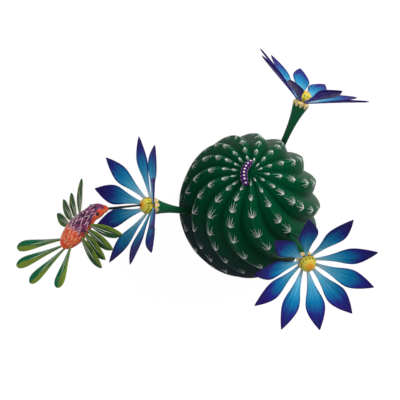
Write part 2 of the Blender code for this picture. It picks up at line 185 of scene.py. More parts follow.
BIRD_OUTLINE = (
    (0.00, 0.29), (0.06, 0.42), (0.13, 0.62), (0.21, 0.70), (0.30, 0.70), (0.42, 0.84),
    (0.57, 1.00), (0.74, 0.96), (0.88, 0.76), (0.96, 0.50), (1.00, 0.26),
)
SPINE_STEPS = 100
RIGHT_WING = ((0.42, 24, 0.033), (0.50, 3, 0.032), (0.58, -10, 0.032), (0.67, -14, 0.035))
LEFT_WING = ((0.42, 34, 0.044), (0.50, 21, 0.035), (0.58, 12, 0.035), (0.67, -3, 0.028))
WING_WIDTH = 0.0100
WING_DROP = radians(-15)
WING_CURVE = 0.24
WING_SHINGLE = radians(23)
TAIL = ((-45, 0.050), (-32, 0.050), (-8, 0.045), (27, 0.039))
TAIL_WIDTH = 0.0105
TAIL_SPACING = 0.0042
FEATHER_THICKNESS = 0.0013
FEATHER_TANG = 0.0024

# Grub on the crown, as in its solid, and the rounds that find the crown's height under it
GRUB_RADIUS = 0.0032
GRUB_SEGMENTS = 8
GRUB_FOLD = 0.20
GRUB_END_SIZE = 0.45
GRUB_END_RATE = 5
GRUB_CAP_SIZE = 0.02
GRUB_SIDE_DOTS = (28, 152)
GRUB_DOT_HEIGHT = 0.35
GRUB_TAIL = Vector((-0.0002, 0.0049, 0))
GRUB_BEND = Vector((-0.0116, -0.0052, 0))
GRUB_HEAD = Vector((-0.0055, -0.0197, 0))
CROWN_ROUNDS = 8

# Which corners stay sharp, which points are merged, and the steps of the finer meshes: pairs are rows and
# columns of a blade, or segments and rings of a ball
SHARP_ANGLE = radians(42)
MERGE_DISTANCE = 0.000002
SEAM_DISTANCE = 0.00001
TURNED_STEPS = 48
SOCKET_STEPS = 32
BEAK_STEPS = 24
STEM_STEPS = 24
DOME_STEPS = 18
GRUB_ROWS = 80
GRUB_STEPS = 24
BIRD_ROWS = 60
BIRD_STEPS = 40
PETAL_STEPS = (34, 10)
FEATHER_STEPS = (28, 8)
STROKE_BALL = (8, 6)
DOT_BALL = (12, 7)

# Brush patterns: how fast each one changes across a piece, along it and from piece to piece. The grain
# of the wood changes along X, Y and Z
PETAL_STROKES = (44, 1.4, 40)
PETAL_WASH = (5, 2.2, 60)
STEM_STREAKS = (40, 3, 0)
FEATHER_BARBS = (26, 4, 50)
FEATHER_PATCHES = (2.5, 3, 80)
WOOD_GRAIN = (900, 900, 90)

# Worn patches that vary a paint's roughness: their scale and how much they change it
WEAR_SCALE = 260
WEAR = 0.16

# A brush stroke is widest near its root, and the outer strokes of a fan are shorter
STROKE_TAPER = 2.8
STROKE_OUTER_LOSS = 0.5
STROKE_SHORTEST = 0.78
STROKE_LONGEST = 1.15

# Chances that keep the brushwork the same in every run
SPINE_SEED = 4
PETAL_SEED = 11
FEATHER_SEED = 5
MARK_SEED = 3
LINE_SEED = 9
FLUFF_SEED = 21

# Lights, and the view of the photograph: half its width over its focal length, both in pixels
KEY_LIGHT = Vector((1.3, 0.45, 1.35))
FILL_LIGHT = Vector((-1.1, -0.6, 1.5))
FLOOR_GLOW = 1.04
VIEW_TARGET = Vector((-0.04564, 0.00407, 0.06016))
VIEW_DISTANCE = 1.2
VIEW_ELEVATION = radians(62)
VIEW_HALF_ANGLE = atan(200 / 1301.5)


def linear(red, green, blue):
    """A display colour of 0 to 255 as the linear values that Blender's shaders take."""
    made = []
    for level in (red / 255, green / 255, blue / 255):
        made.append(level / 12.92 if level <= 0.04045 else ((level + 0.055) / 1.055) ** 2.4)
    return tuple(made)


def colour_property(name, description, *display):
    return FloatVectorProperty(
        name=name, description=description, default=linear(*display), subtype="COLOR", min=0, max=1)


def length_property(name, description, default):
    return FloatProperty(name=name, description=description, default=default, unit="LENGTH", precision=5)


def angle_property(name, description, degrees):
    return FloatProperty(name=name, description=description, default=radians(degrees), subtype="ANGLE")


def share_property(name, description, default):
    return FloatProperty(name=name, description=description, default=default, subtype="FACTOR", min=0, max=1)


def power_property(name, description, default):
    return FloatProperty(name=name, description=description, default=default, unit="POWER")


class CactusLook(bpy.types.PropertyGroup):
    """Sizes and paints of the cactus."""

    steps_per_rib: IntProperty(name="Steps per rib", description="Faces across one rib", default=20)
    rings: IntProperty(name="Rings", description="Faces from the crown to the base", default=110)
    green: colour_property("Green", "Paint on the ribs", 0, 75, 45)
    # Valley green is painted shade: a darker green down between the ribs
    valley_shade: colour_property("Valley green", "Darker paint between the ribs", 0, 62, 38)
    # Crest green is a painted highlight: a lighter line along the rib crests
    crest: colour_property("Crest green", "Paint rubbed thin along the crests", 44, 116, 86)
    # The dark grey-green that the green fades to towards the foot; the fade reaches higher on the left and
    # front, as painted shade
    foot_slate_and_shade: colour_property("Slate", "Dark paint that the green fades to at the foot", 40, 54, 58)
    spine_white: colour_property("Spine white", "Paint of the spine strokes", 255, 255, 252)
    spine_length: length_property("Spine length", "Longest stroke of a cluster", 0.0124)
    spine_width: length_property("Spine width", "Stroke width at its root", 0.00043)
    spine_ridge: length_property("Spine ridge", "How far the paint stands up", 0.00016)
    spine_strokes: IntProperty(name="Spine strokes", description="Strokes in a cluster", default=7)
    spine_fan: angle_property("Spine fan", "Half the angle of a cluster", 76)
    spine_jitter: angle_property("Spine jitter", "How far a stroke strays from its place", 9)


class GrubLook(bpy.types.PropertyGroup):
    """Sizes and paints of the grub on the crown."""

    purple: colour_property("Purple", "Paint of the grub", 84, 36, 110)
    # Fold purple is painted shade: a darker purple in the folds between the segments
    fold_shade: colour_property("Fold purple", "Paint in the folds between its segments", 48, 18, 72)
    dot: colour_property("Dot", "Paint of the dots", 240, 236, 230)
    dot_size: length_property("Dot size", "Radius of a dot on its back", 0.0009)
    side_dot_size: length_property("Side dot size", "Radius of a dot on its sides", 0.00038)


class FlowerLook(bpy.types.PropertyGroup):
    """Paints of the flowers."""

    pale: colour_property("Pale", "Petal face at the root", 222, 242, 250)
    sky: colour_property("Sky", "Petal face above the root", 92, 206, 248)
    blue: colour_property("Blue", "Petal face at its widest", 8, 144, 204)
    indigo: colour_property("Indigo", "Petal face near the tip", 42, 42, 150)
    violet: colour_property("Violet", "Petal tip and edge", 46, 16, 110)
    back: colour_property("Back", "Back of the petals", 62, 34, 166)
    back_pale: colour_property("Pale back", "Back of the petals at the root", 104, 92, 208)
    stem: colour_property("Stem", "Paint of the stems", 24, 96, 62)
    stem_dark: colour_property("Dark stem", "Paint of the stems at the root", 10, 54, 38)
    peach: colour_property("Peach", "Scalloped rim under the petals", 250, 216, 160)
    yellow: colour_property("Yellow", "Centre of the flowers", 244, 222, 78)
    moss: colour_property("Moss", "Shaded patches of the centre", 216, 206, 62)
    orange: colour_property("Orange", "Tip of the centre", 252, 164, 24)
    wood: colour_property("Wood", "Bare wood of the pegs and sockets", 190, 150, 104)
    stamen_size: length_property("Stamen size", "Radius of a yellow knob round the centre", 0.0014)
    seed_size: length_property("Seed size", "Radius of a dark dot above the knobs", 0.0006)


class BirdLook(bpy.types.PropertyGroup):
    """Paints of the hummingbird."""

    breast: colour_property("Breast", "Head, throat and rump", 234, 74, 38)
    glow: colour_property("Glow", "Lighter patches of the breast", 248, 120, 66)
    plum: colour_property("Plum", "Back", 120, 46, 90)
    plum_dark: colour_property("Dark plum", "Shaded patches of the back", 66, 20, 52)
    line: colour_property("Feather lines", "Fine strokes on the back", 244, 214, 226)
    fluff: colour_property("Fluff", "Fine strokes on the rump", 255, 200, 156)
    wing_dark: colour_property("Wing dark", "Dark half of a wing feather", 48, 84, 54)
    wing_light: colour_property("Wing light", "Light half of a wing feather", 108, 132, 50)
    tail_dark: colour_property("Tail dark", "Dark half of a tail feather", 20, 106, 70)
    tail_light: colour_property("Tail light", "Light half of a tail feather", 126, 146, 52)
    wing_split: share_property("Wing split", "Where the halves of a wing feather meet", 0.58)
    tail_split: share_property("Tail split", "Where the halves of a tail feather meet", 0.56)
    quill: colour_property("Quill", "Pale line along a feather", 246, 246, 224)
    beak: colour_property("Beak", "Beak and eyes", 14, 14, 16)
    eye_size: length_property("Eye size", "Radius of an eye", 0.0017)
    line_length: length_property("Line length", "Longest stroke on the back", 0.0190)
    line_width: length_property("Line width", "Width of a stroke on the back", 0.0005)
    line_fan: angle_property("Line fan", "Half the angle between two strokes on the back", 23)
    line_jitter: angle_property("Line jitter", "How far a stroke on the back strays", 10)
    fluff_length: length_property("Fluff length", "Longest stroke on the rump", 0.0062)
    fluff_width: length_property("Fluff width", "Width of a stroke on the rump", 0.00045)
    fluff_fan: angle_property("Fluff fan", "Half the angle of three strokes on the rump", 20)
    fluff_jitter: angle_property("Fluff jitter", "How far a stroke on the rump strays", 14)
    ridge: length_property("Ridge", "How far the strokes stand up", 0.0001)


class StageLook(bpy.types.PropertyGroup):
    """Sizes and levels of the stage."""

    floor_size: length_property("Floor size", "Side of the floor", 6.0)
    floor_shade: share_property("Floor shade", "Share that shows shadows", 0.08)
    sky_level: share_property("Sky level", "Light from all around", 0.42)
    key_power: power_property("Key power", "Power of the main light", 21)
    key_size: length_property("Key size", "Side of the main light", 0.8)
    fill_power: power_property("Fill power", "Power of the side light", 8.5)
    fill_size: length_property("Fill size", "Side of the side light", 1.2)


# Node trees


class Wire:
    """A node's output that takes part in sums as a number does."""

    def __init__(self, tree, socket):
        self.tree = tree
        self.socket = socket

    def math(self, operation, *others):
        return wire(self.tree, "ShaderNodeMath", dict(enumerate((self, *others))), operation=operation)

    def __add__(self, other):
        return self.math("ADD", other)

    def __sub__(self, other):
        return self.math("SUBTRACT", other)

    def __mul__(self, other):
        return self.math("MULTIPLY", other)

    def __truediv__(self, other):
        return self.math("DIVIDE", other)

    def __pow__(self, other):
        return self.math("POWER", other)

    def flip(self):
        """One less this value."""
        return self * -1 + 1

    def stray(self, reach):
        """A noise of 0 to 1 as a shift of up to half the reach either way."""
        return (self - 0.5) * reach

    def off_middle(self):
        """0 in the middle of a span of 0 to 1, and 1 at both its ends."""
        return (self - 0.5).math("ABSOLUTE") * 2

    def smooth(self, low, high):
        """0 up to low, 1 from high, and an even bend between."""
        inputs = {"Value": self, "From Min": low, "From Max": high}
        return wire(self.tree, "ShaderNodeMapRange", inputs, interpolation_type="SMOOTHSTEP")

    def parts(self):
        """The three numbers of a vector."""
        made = add_node(self.tree, "ShaderNodeSeparateXYZ", {0: self})
        return [Wire(self.tree, socket) for socket in made.outputs]


def plug(slot, value):
    """Links a wire to an input, or sets the input's own value."""
    if isinstance(value, Wire):
        value.tree.links.new(value.socket, slot)
    else:
        slot.default_value = value


def add_node(tree, kind, inputs=None, **settings):
    made = tree.nodes.new(kind)
    for name, value in settings.items():
        setattr(made, name, value)
    for name, value in (inputs or {}).items():
        plug(made.inputs[name], value)
    return made


def wire(tree, kind, inputs=None, output=0, **settings):
    """The output of one new node."""
    return Wire(tree, add_node(tree, kind, inputs, **settings).outputs[output])


def vector(tree, x, y, z):
    return wire(tree, "ShaderNodeCombineXYZ", {0: x, 1: y, 2: z})


def vector_sum(tree, operation, first, second):
    """A vector sum; SCALE takes a number second."""
    slot = "Scale" if operation == "SCALE" else 1
    return wire(tree, "ShaderNodeVectorMath", {0: first, slot: second}, operation=operation)


# Paints


class Paint:
    """A painted finish: one material and short calls for what its brushwork needs."""

    def __init__(self, name):
        self.material = bpy.data.materials.new(name)
        self.material.use_nodes = True
        self.tree = self.material.node_tree
        self.shader = self.tree.nodes["Principled BSDF"]

    def attribute(self, name):
        return wire(self.tree, "ShaderNodeAttribute", output="Fac", attribute_name=name)

    def uv(self):
        return wire(self.tree, "ShaderNodeUVMap", uv_map="paint").parts()[:2]

    def place(self):
        """The point on the object, in its own frame."""
        return wire(self.tree, "ShaderNodeTexCoord", output="Object")

    def noise(self, scale, where=None, detail=3.0):
        inputs = {"Vector": where or self.place(), "Scale": scale, "Detail": detail}
        return wire(self.tree, "ShaderNodeTexNoise", inputs)

    def pattern(self, place, rates, detail=3.0):
        """Noise that changes at its own rate along each of a place's three numbers."""
        return self.noise(1, vector(self.tree, *(part * rate for part, rate in zip(place, rates))), detail)

    def blend(self, share, first, second):
        first, second = (one if isinstance(one, Wire) else (*one, 1) for one in (first, second))
        return wire(self.tree, "ShaderNodeMix", {0: share, 6: first, 7: second}, 2, data_type="RGBA")

    def ramp(self, share, *stops):
        """A colour that runs through (place, colour) stops."""
        made = add_node(self.tree, "ShaderNodeValToRGB", {0: share})
        bar = made.color_ramp.elements
        while len(bar) < len(stops):
            bar.new(0.5)
        for mark, (place, colour) in zip(bar, stops):
            mark.position = place
            mark.color = (*colour, 1)
        return Wire(self.tree, made.outputs[0])

    def finish(self, colour, roughness, relief, depth, gloss=0.05):
        """Sets the colour, a roughness that varies a little, and the relief's height in metres."""
        bump = wire(self.tree, "ShaderNodeBump", {"Height": relief, "Distance": depth})
        plug(self.shader.inputs["Base Color"], colour)
        plug(self.shader.inputs["Roughness"], self.noise(WEAR_SCALE).stray(WEAR) + roughness)
        plug(self.shader.inputs["Normal"], bump)
        plug(self.shader.inputs["Specular IOR Level"], gloss)
        return self.material


def scaled(colour, light):
    """The colour with its light made weaker, or stronger if the number is over 1."""
    return [light * level for level in colour]


def rib_paint(look):
    """Green satin paint, with painted shade between the ribs and a painted highlight along the crests.
    Towards the foot it fades to a dark grey-green, which reaches higher on one side as painted shade.
    """
    paint = Paint("rib_paint")
    rise = paint.attribute("rib_rise")
    x, y, z = paint.place().parts()
    brushed = paint.noise(70, detail=4)
    # Painted shade: darker green down in the valleys between the ribs
    colour = paint.blend(rise.smooth(0.0, 0.45), look.valley_shade, look.green)
    # Painted highlight: a lighter, broken line along each rib crest
    colour = paint.blend(rise.smooth(0.84, 1.0) * brushed.smooth(0.25, 0.7) * 0.65, colour, look.crest)
    # Towards the foot the green fades to dark grey-green; the tilt lifts the fade on the left and front, away
    # from the key light, as painted shade
    height = z * 0.86 + x * 0.45 + y * 0.25 + brushed.stray(0.03)
    colour = paint.blend(height.smooth(0.008, 0.068), look.foot_slate_and_shade, colour)
    grain = paint.noise(900, detail=2) * 0.35 + brushed
    return paint.finish(colour, roughness=0.36, relief=grain, depth=0.0008, gloss=0.02)


def spine_paint(look):
    paint = Paint("spine_paint")
    thin = paint.noise(420)
    colour = paint.blend(thin.smooth(0.35, 0.7), scaled(look.spine_white, 0.92), look.spine_white)
    return paint.finish(colour, roughness=0.55, relief=thin, depth=0.0002)


def grub_paint(look):
    paint = Paint("grub_paint")
    _, along = paint.uv()
    # Painted shade: the grub darkens towards the folds between its segments
    fold_shade = (along * (pi * GRUB_SEGMENTS)).math("SINE").math("ABSOLUTE")
    colour = paint.blend(fold_shade.smooth(0.05, 0.7), look.fold_shade, look.purple)
    return paint.finish(colour, roughness=0.4, relief=paint.noise(600), depth=0.0003)


def dot_paint(look):
    paint = Paint("dot_paint")
    colour = paint.blend(paint.noise(900), scaled(look.dot, 0.8), look.dot)
    return paint.finish(colour, roughness=0.5, relief=paint.noise(1400), depth=0.0001)


def petal_paint(look):
    """Pale at the root, then blue, with an indigo tip and edge, in long brush strokes."""
    paint = Paint("petal_paint")
    across, along = paint.uv()
    off = across.off_middle()
    tone = paint.attribute("tone")
    strokes = paint.pattern((across, along, tone), PETAL_STROKES, detail=5)
    broad = paint.pattern((across, along, tone), PETAL_WASH, detail=2)
    wash = along + strokes.stray(0.22) + broad.stray(0.22) + off ** 5 * 0.16 + tone.stray(0.14)
    face = paint.ramp(
        wash, (0.12, look.pale), (0.34, look.sky), (0.58, look.blue), (0.77, look.indigo),
        (0.92, look.violet))
    lines = strokes.smooth(0.54, 0.70) * along.smooth(0.25, 0.62).flip() * 0.6
    face = paint.blend(lines, face, look.pale)
    shade = strokes.smooth(0.34, 0.50).flip() * along.smooth(0.12, 0.40) * 0.85
    face = paint.blend(shade, face, scaled(look.blue, 0.22))
    face = paint.blend((off ** 9) * along.smooth(0.2, 0.5) * 0.7, face, look.violet)
    back = paint.ramp(wash, (0.10, look.back_pale), (0.45, look.back), (0.90, look.violet))
    colour = paint.blend(paint.attribute("face_side").smooth(0.3, 0.6), back, face)
    return paint.finish(colour, roughness=0.42, relief=strokes, depth=0.0005)


def stem_paint(look):
    """Dark green with a scalloped peach rim that runs down in teeth."""
    paint = Paint("stem_paint")
    around, along = paint.uv()
    lobes = (around * (tau * 5)).math("SINE").math("ABSOLUTE")
    teeth = along + lobes * -0.05 + paint.noise(500).stray(0.02)
    streaks = paint.pattern((around, along, 0.0), STEM_STREAKS)
    green = paint.ramp(along + streaks.stray(0.3), (0.25, look.stem), (0.9, look.stem_dark))
    rim = paint.blend(lobes.smooth(0.30, 0.55), look.yellow, look.peach)
    colour = paint.blend(teeth.smooth(0.128, 0.140), rim, green)
    return paint.finish(colour, roughness=0.4, relief=streaks, depth=0.0004)


def centre_paint(look):
    """Yellow with mossy patches and an orange tip."""
    paint = Paint("centre_paint")
    _, along = paint.uv()
    patch = paint.noise(420, detail=2)
    colour = paint.blend(patch.smooth(0.50, 0.70), look.yellow, look.moss)
    colour = paint.blend((along + patch.stray(0.3)).smooth(0.06, 0.30).flip(), colour, look.orange)
    return paint.finish(colour, roughness=0.34, relief=paint.noise(700), depth=0.0006, gloss=0.3)


def wood_finish(look):
    """Bare wood with grain, made once."""
    made = bpy.data.materials.get("grained_wood")
    if made:
        return made
    paint = Paint("grained_wood")
    grain = paint.pattern(paint.place().parts(), WOOD_GRAIN)
    colour = paint.blend(grain, scaled(look.wood, 0.55), look.wood)
    return paint.finish(colour, roughness=0.65, relief=grain, depth=0.0002)


def bird_paint(look):
    """Orange-red, with a plum back that fades into it."""
    paint = Paint("bird_paint")
    around, along = paint.uv()
    top = around.off_middle().flip()
    mottle = paint.noise(230, detail=3)
    warm = paint.blend(mottle.smooth(0.42, 0.68), look.breast, look.glow)
    plum = paint.blend(mottle.smooth(0.35, 0.65), look.plum, look.plum_dark)
    cap = along.smooth(0.12, 0.42).flip() * 0.27
    reach = (top + mottle.stray(0.2) - cap).smooth(0.46, 0.60)
    brow = (along + mottle.stray(0.06)).smooth(0.05, 0.11)
    rump = (along + mottle.stray(0.2)).smooth(0.58, 0.72)
    colour = paint.blend(reach * brow * rump.flip(), warm, plum)
    return paint.finish(colour, roughness=0.36, relief=mottle, depth=0.0005, gloss=0.2)


def stroke_paint(name, colour):
    paint = Paint(name)
    thin = paint.noise(700)
    shown = paint.blend(thin.smooth(0.3, 0.7), scaled(colour, 0.7), colour)
    return paint.finish(shown, roughness=0.5, relief=thin, depth=0.0001)


def feather_paint(name, look, dark, light, split):
    """Two halves that run into each other at the split, with a pale quill, streak and leading edge."""
    paint = Paint(name)
    across, along = paint.uv()
    off = across.off_middle()
    tone = paint.attribute("tone")
    barbs = paint.pattern((across, along, tone), FEATHER_BARBS, detail=4)
    patch = paint.pattern((across, along, tone), FEATHER_PATCHES, detail=2)
    halves = across + barbs.stray(0.35) + patch.stray(0.9) + along.smooth(0.4, 1.0) * 0.2
    half = halves.smooth(split, split + 0.28)
    colour = paint.blend(half, dark, light)
    colour = paint.blend((barbs - 0.35).smooth(0.1, 0.4) * 0.5, colour, scaled(dark, 0.45))
    quill = off.smooth(0.02, 0.08).flip() * along.smooth(0.50, 0.80).flip()
    streak = (across - 0.28).math("ABSOLUTE").smooth(0.01, 0.05).flip() * along.smooth(0.35, 0.60).flip()
    edge = (across + barbs.stray(0.05)).smooth(0.05, 0.10).flip() * along.smooth(0.6, 0.9).flip()
    lines = quill.math("MAXIMUM", edge).math("MAXIMUM", streak)
    colour = paint.blend(lines, colour, look.quill)
    return paint.finish(colour, roughness=0.45, relief=barbs, depth=0.0004)


def beak_paint(name, look):
    """Black, with a little wear."""
    paint = Paint(name)
    worn = paint.noise(500)
    colour = paint.blend(worn.smooth(0.5, 0.8), look.beak, scaled(look.beak, 3))
    return paint.finish(colour, roughness=0.22, relief=worn, depth=0.0001, gloss=0.3)


# Meshes


def loft(name, rings, around, along, sides=None):
    """A closed skin over rings of points. around has one more entry than a ring, along one for each ring."""
    bm = bmesh.new()
    paint = bm.loops.layers.uv.new("paint")
    side = bm.loops.layers.float.new("face_side")
    sides = sides or [1.0] * len(around)
    verts = [[bm.verts.new(point) for point in ring] for ring in rings]
    count = len(rings[0])
    for ring in range(len(rings) - 1):
        for column in range(count):
            follow = (column + 1) % count
            corners = (
                (ring, column, column), (ring, follow, column + 1),
                (ring + 1, follow, column + 1), (ring + 1, column, column))
            face = bm.faces.new([verts[row][at] for row, at, _ in corners])
            for loop, (row, _, mark) in zip(face.loops, corners):
                loop[paint].uv = (around[mark], along[row])
                loop[side] = sides[mark]
    for ring in (0, len(rings) - 1):
        for column, loop in enumerate(bm.faces.new(verts[ring]).loops):
            loop[paint].uv = (around[column], along[ring])
            loop[side] = sides[column]
    bmesh.ops.remove_doubles(bm, verts=bm.verts, dist=MERGE_DISTANCE)
    bmesh.ops.recalc_face_normals(bm, faces=bm.faces)
    return smooth_mesh(name, bm)


def smooth_mesh(name, bm):
    mesh = bpy.data.meshes.new(name)
    bm.to_mesh(mesh)
    bm.free()
    mesh.shade_smooth()
    mesh.set_sharp_from_angle(angle=SHARP_ANGLE)
    return mesh


def even_shares(steps):
    """Shares from 0 to 1 in even steps."""
    return [at / steps for at in range(steps + 1)]


def unit_circle(steps, start=0):
    """Points round a circle, from that angle on."""
    angles = [tau * at / steps + start for at in range(steps)]
    return [(cos(angle), sin(angle)) for angle in angles]


def turned(name, profile, matrix, steps):
    """A profile of (radius, height) points, turned about the matrix's Z axis."""
    circle = unit_circle(steps)
    rings = []
    along = [0.0]
    for index, (radius, height) in enumerate(profile):
        rings.append([matrix @ Vector((radius * x, radius * y, height)) for x, y in circle])
        if index:
            along.append(along[-1] + (Vector((radius, height)) - Vector(profile[index - 1])).length)
    return loft(name, rings, even_shares(steps), [length / along[-1] for length in along])


def smooth_outline(stations, share):
    """The outline's value at that share of the length, on a bend through its stations."""
    index = 0
    while index < len(stations) - 2 and share > stations[index + 1][0]:
        index += 1
    near = [max(0, min(at, len(stations) - 1)) for at in range(index - 1, index + 3)]
    before, first, second, after = (stations[at] for at in near)
    span = second[0] - first[0]
    step = (share - first[0]) / span
    leave = span * (second[1] - before[1]) / (second[0] - before[0])
    arrive = span * (after[1] - first[1]) / (after[0] - first[0])
    return (
        first[1] * (1 + 2 * step) * (1 - step) ** 2 + leave * step * (1 - step) ** 2
        + second[1] * step**2 * (3 - 2 * step) + arrive * step**2 * (step - 1))


def carved_blade(name, blade, matrix, tone, rows, columns):
    """A thin carved leaf with rounded edges: X is its width, Z its length and +Y the face that shows."""
    spread = [sin(pi / 2 * (2 * at / columns - 1)) for at in range(columns + 1)]
    loop = [(across, 1.0) for across in spread] + [(across, -1.0) for across in reversed(spread[1:-1])]
    first, last = blade.outline[0][0], blade.outline[-1][0]
    rings = []
    along = []
    for row in range(rows + 1):
        share = first + (last - first) * (1 - (1 - row / rows) ** BLADE_CROWDING)
        full = max(BLADE_LEAST_WIDTH, smooth_outline(blade.outline, share))
        middle = blade.curve * share**2 * (share - 1)
        slim = min(1, BLADE_TIP_THICKNESS + BLADE_TIP_RISE * (last - share))
        ring = []
        for across, face in loop:
            half = blade.thickness / 2 * slim * (1 - abs(across) ** BLADE_EDGE_POWER) ** 0.5
            lift = blade.cup * full * across**2 - blade.bow * share**2 + face * half
            sideways = middle + across * full * blade.width / 2
            ring.append(matrix @ Vector((sideways, lift, share * blade.length)))
        rings.append(ring)
        along.append(share)
    around = [(across + 1) / 2 for across, _ in loop + loop[:1]]
    sides = [0.5 if abs(across) == 1 else max(face, 0) for across, face in loop + loop[:1]]
    mesh = loft(name, rings, around, along, sides)
    mesh.attributes.new("tone", "FLOAT", "POINT").data.foreach_set("value", [tone] * len(mesh.vertices))
    return mesh


def add_piece(name, mesh, material, body, slot, *nodes):
    """Shows a finished mesh as a piece that rides a body, in place of its solids."""
    mesh.materials.clear()
    mesh.materials.append(material)
    piece = put_object(name, mesh)
    settle(piece, body, slot, *nodes)
    return piece


def settle(piece, body, slot, *nodes):
    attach(piece, body)
    if nodes:
        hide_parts(*nodes)


def put_object(name, data):
    """A new object with that mesh, light or camera, in the scene."""
    made = bpy.data.objects.new(name, data)
    bpy.context.scene.collection.objects.link(made)
    return made


def plain_mesh(obj, name):
    """The object's mesh with its modifiers worked in. The object itself is removed."""
    bpy.context.view_layer.update()
    graph = bpy.context.evaluated_depsgraph_get()
    mesh = bpy.data.meshes.new_from_object(
        obj.evaluated_get(graph), preserve_all_data_layers=True, depsgraph=graph)
    mesh.name = name
    bpy.data.objects.remove(obj)
    return mesh


def cut(obj, cutters):
    for cutter in cutters:
        boolean = obj.modifiers.new("Cut " + cutter.name, "BOOLEAN")
        boolean.operation = "DIFFERENCE"
        boolean.solver = "EXACT"
        boolean.material_mode = "TRANSFER"
        boolean.object = cutter


# Geometry node trees


def new_tree(name, **sockets):
    """A tree with those inputs of each type: returns it, its inputs and its one geometry output."""
    tree = bpy.data.node_groups.new(name, "GeometryNodeTree")
    tree.interface.new_socket("Geometry", in_out="OUTPUT", socket_type="NodeSocketGeometry")
    tree.interface.new_socket("Geometry", in_out="INPUT", socket_type="NodeSocketGeometry")
    for kind, labels in sockets.items():
        for label in labels:
            tree.interface.new_socket(label, in_out="INPUT", socket_type="NodeSocket" + kind)
    given = tree.nodes.new("NodeGroupInput")
    result = tree.nodes.new("NodeGroupOutput")
    inputs = {socket.name: Wire(tree, socket) for socket in given.outputs if socket.name}
    return tree, inputs, result.inputs[0]


def run_tree(obj, tree, values):
    """Puts the tree on an object, with its inputs set by socket identifier."""
    modifier = obj.modifiers.new(tree.name, "NODES")
    modifier.node_group = tree
    for item in tree.interface.items_tree:
        if item.in_out == "INPUT" and item.name in values:
            modifier[item.identifier] = values[item.name]


def chain(geometry, kind, inputs=None, **settings):
    """Passes a geometry through one more node."""
    return wire(geometry.tree, kind, {0: geometry, **(inputs or {})}, **settings)


def named(tree, name, data_type="FLOAT"):
    return wire(tree, "GeometryNodeInputNamedAttribute", {"Name": name}, data_type=data_type)


def position(tree):
    return wire(tree, "GeometryNodeInputPosition")


def standing(tree):
    """The turn that stands a mark up along its point's outward way, with its Y along the lead."""
    ways = {0: named(tree, "outward", "FLOAT_VECTOR"), 1: named(tree, "lead", "FLOAT_VECTOR")}
    return wire(tree, "FunctionNodeAxesToRotation", ways, primary_axis="Z", secondary_axis="Y")


def random_between(tree, low, high, seed):
    return wire(tree, "FunctionNodeRandomValue", {2: low, 3: high, 8: seed}, 1, data_type="FLOAT")


def unit_ball(tree, counts):
    """A ball of radius 1 with those counts of segments and rings."""
    segments, rings = counts
    inputs = {"Segments": segments, "Rings": rings, "Radius": 1.0}
    return wire(tree, "GeometryNodeMeshUVSphere", inputs)


def ribbed_ball_tree():
    """A grid drawn onto the oval of the cactus: round crests, sharp valleys, flat base."""
    tree, given, result = new_tree(
        "Ribbed ball",
        Float=(
            "Radius", "Half height", "Waist height", "Rib depth", "First crest", "Drift", "Drift start",
            "Fade power", "Crest power", "Swirl start", "Swirl rate", "Crown dip", "Dip spread",
            "Shift spread"),
        Int=("Ribs", "Steps around", "Rings"), Vector=("Crown shift",), Material=("Paint",))
    grid = wire(tree, "GeometryNodeMeshGrid", {
        "Size X": 1.0, "Size Y": 1.0, "Vertices X": given["Steps around"] + 1,
        "Vertices Y": given["Rings"] + 2})
    x, y, _ = position(tree).parts()
    around = (x + 0.5) * tau
    ring = (y + 0.5) * (given["Rings"] + 1)
    base = (given["Waist height"] / given["Half height"] * -1).math("ARCCOSINE")
    polar = (ring / given["Rings"]).math("MINIMUM", 1.0) * base
    above = (ring - given["Rings"]).math("LESS_THAN", -0.5)
    beside = (ring - given["Rings"]).math("LESS_THAN", 0.5)
    sine, cosine = polar.math("SINE"), polar.math("COSINE")
    away = (around * given["Ribs"] / tau).math("PINGPONG", 0.5) * 2
    fade = sine.math("MAXIMUM", 0.0) ** given["Fade power"]
    inset = away ** given["Crest power"] * given["Rib depth"] * fade
    flat, tall = sine / given["Radius"], cosine / given["Half height"]
    size = (flat * flat + tall * tall).math("SQRT")
    dip = (((polar / given["Dip spread"]) ** 2) * -1).math("EXPONENT") * given["Crown dip"]
    radius = (given["Radius"] * sine - inset * flat / size) * beside
    height = (given["Waist height"] + given["Half height"] * cosine - dip - inset * tall / size) * above
    start = around + given["First crest"]
    swirl = (polar - given["Swirl start"]).math("MAXIMUM", 0.0) ** 2 * given["Swirl rate"]
    heading = start + (start - given["Drift start"]).math("SINE") * given["Drift"] + swirl
    near = (((polar / given["Shift spread"]) ** 2) * -1).math("EXPONENT")
    point = vector(tree, radius * heading.math("COSINE"), radius * heading.math("SINE"), height)
    point = vector_sum(tree, "ADD", point, vector_sum(tree, "SCALE", given["Crown shift"], near))
    body = chain(
        grid, "GeometryNodeStoreNamedAttribute", {"Name": "rib_rise", "Value": away.flip()},
        data_type="FLOAT", domain="POINT")
    body = chain(body, "GeometryNodeSetPosition", {"Position": point})
    body = chain(body, "GeometryNodeMergeByDistance", {"Distance": SEAM_DISTANCE})
    body = chain(body, "GeometryNodeFlipFaces")
    body = chain(body, "GeometryNodeSetShadeSmooth")
    body = chain(body, "GeometryNodeRealizeInstances")
    plug(result, chain(body, "GeometryNodeSetMaterial", {"Material": given["Paint"]}))
    return tree


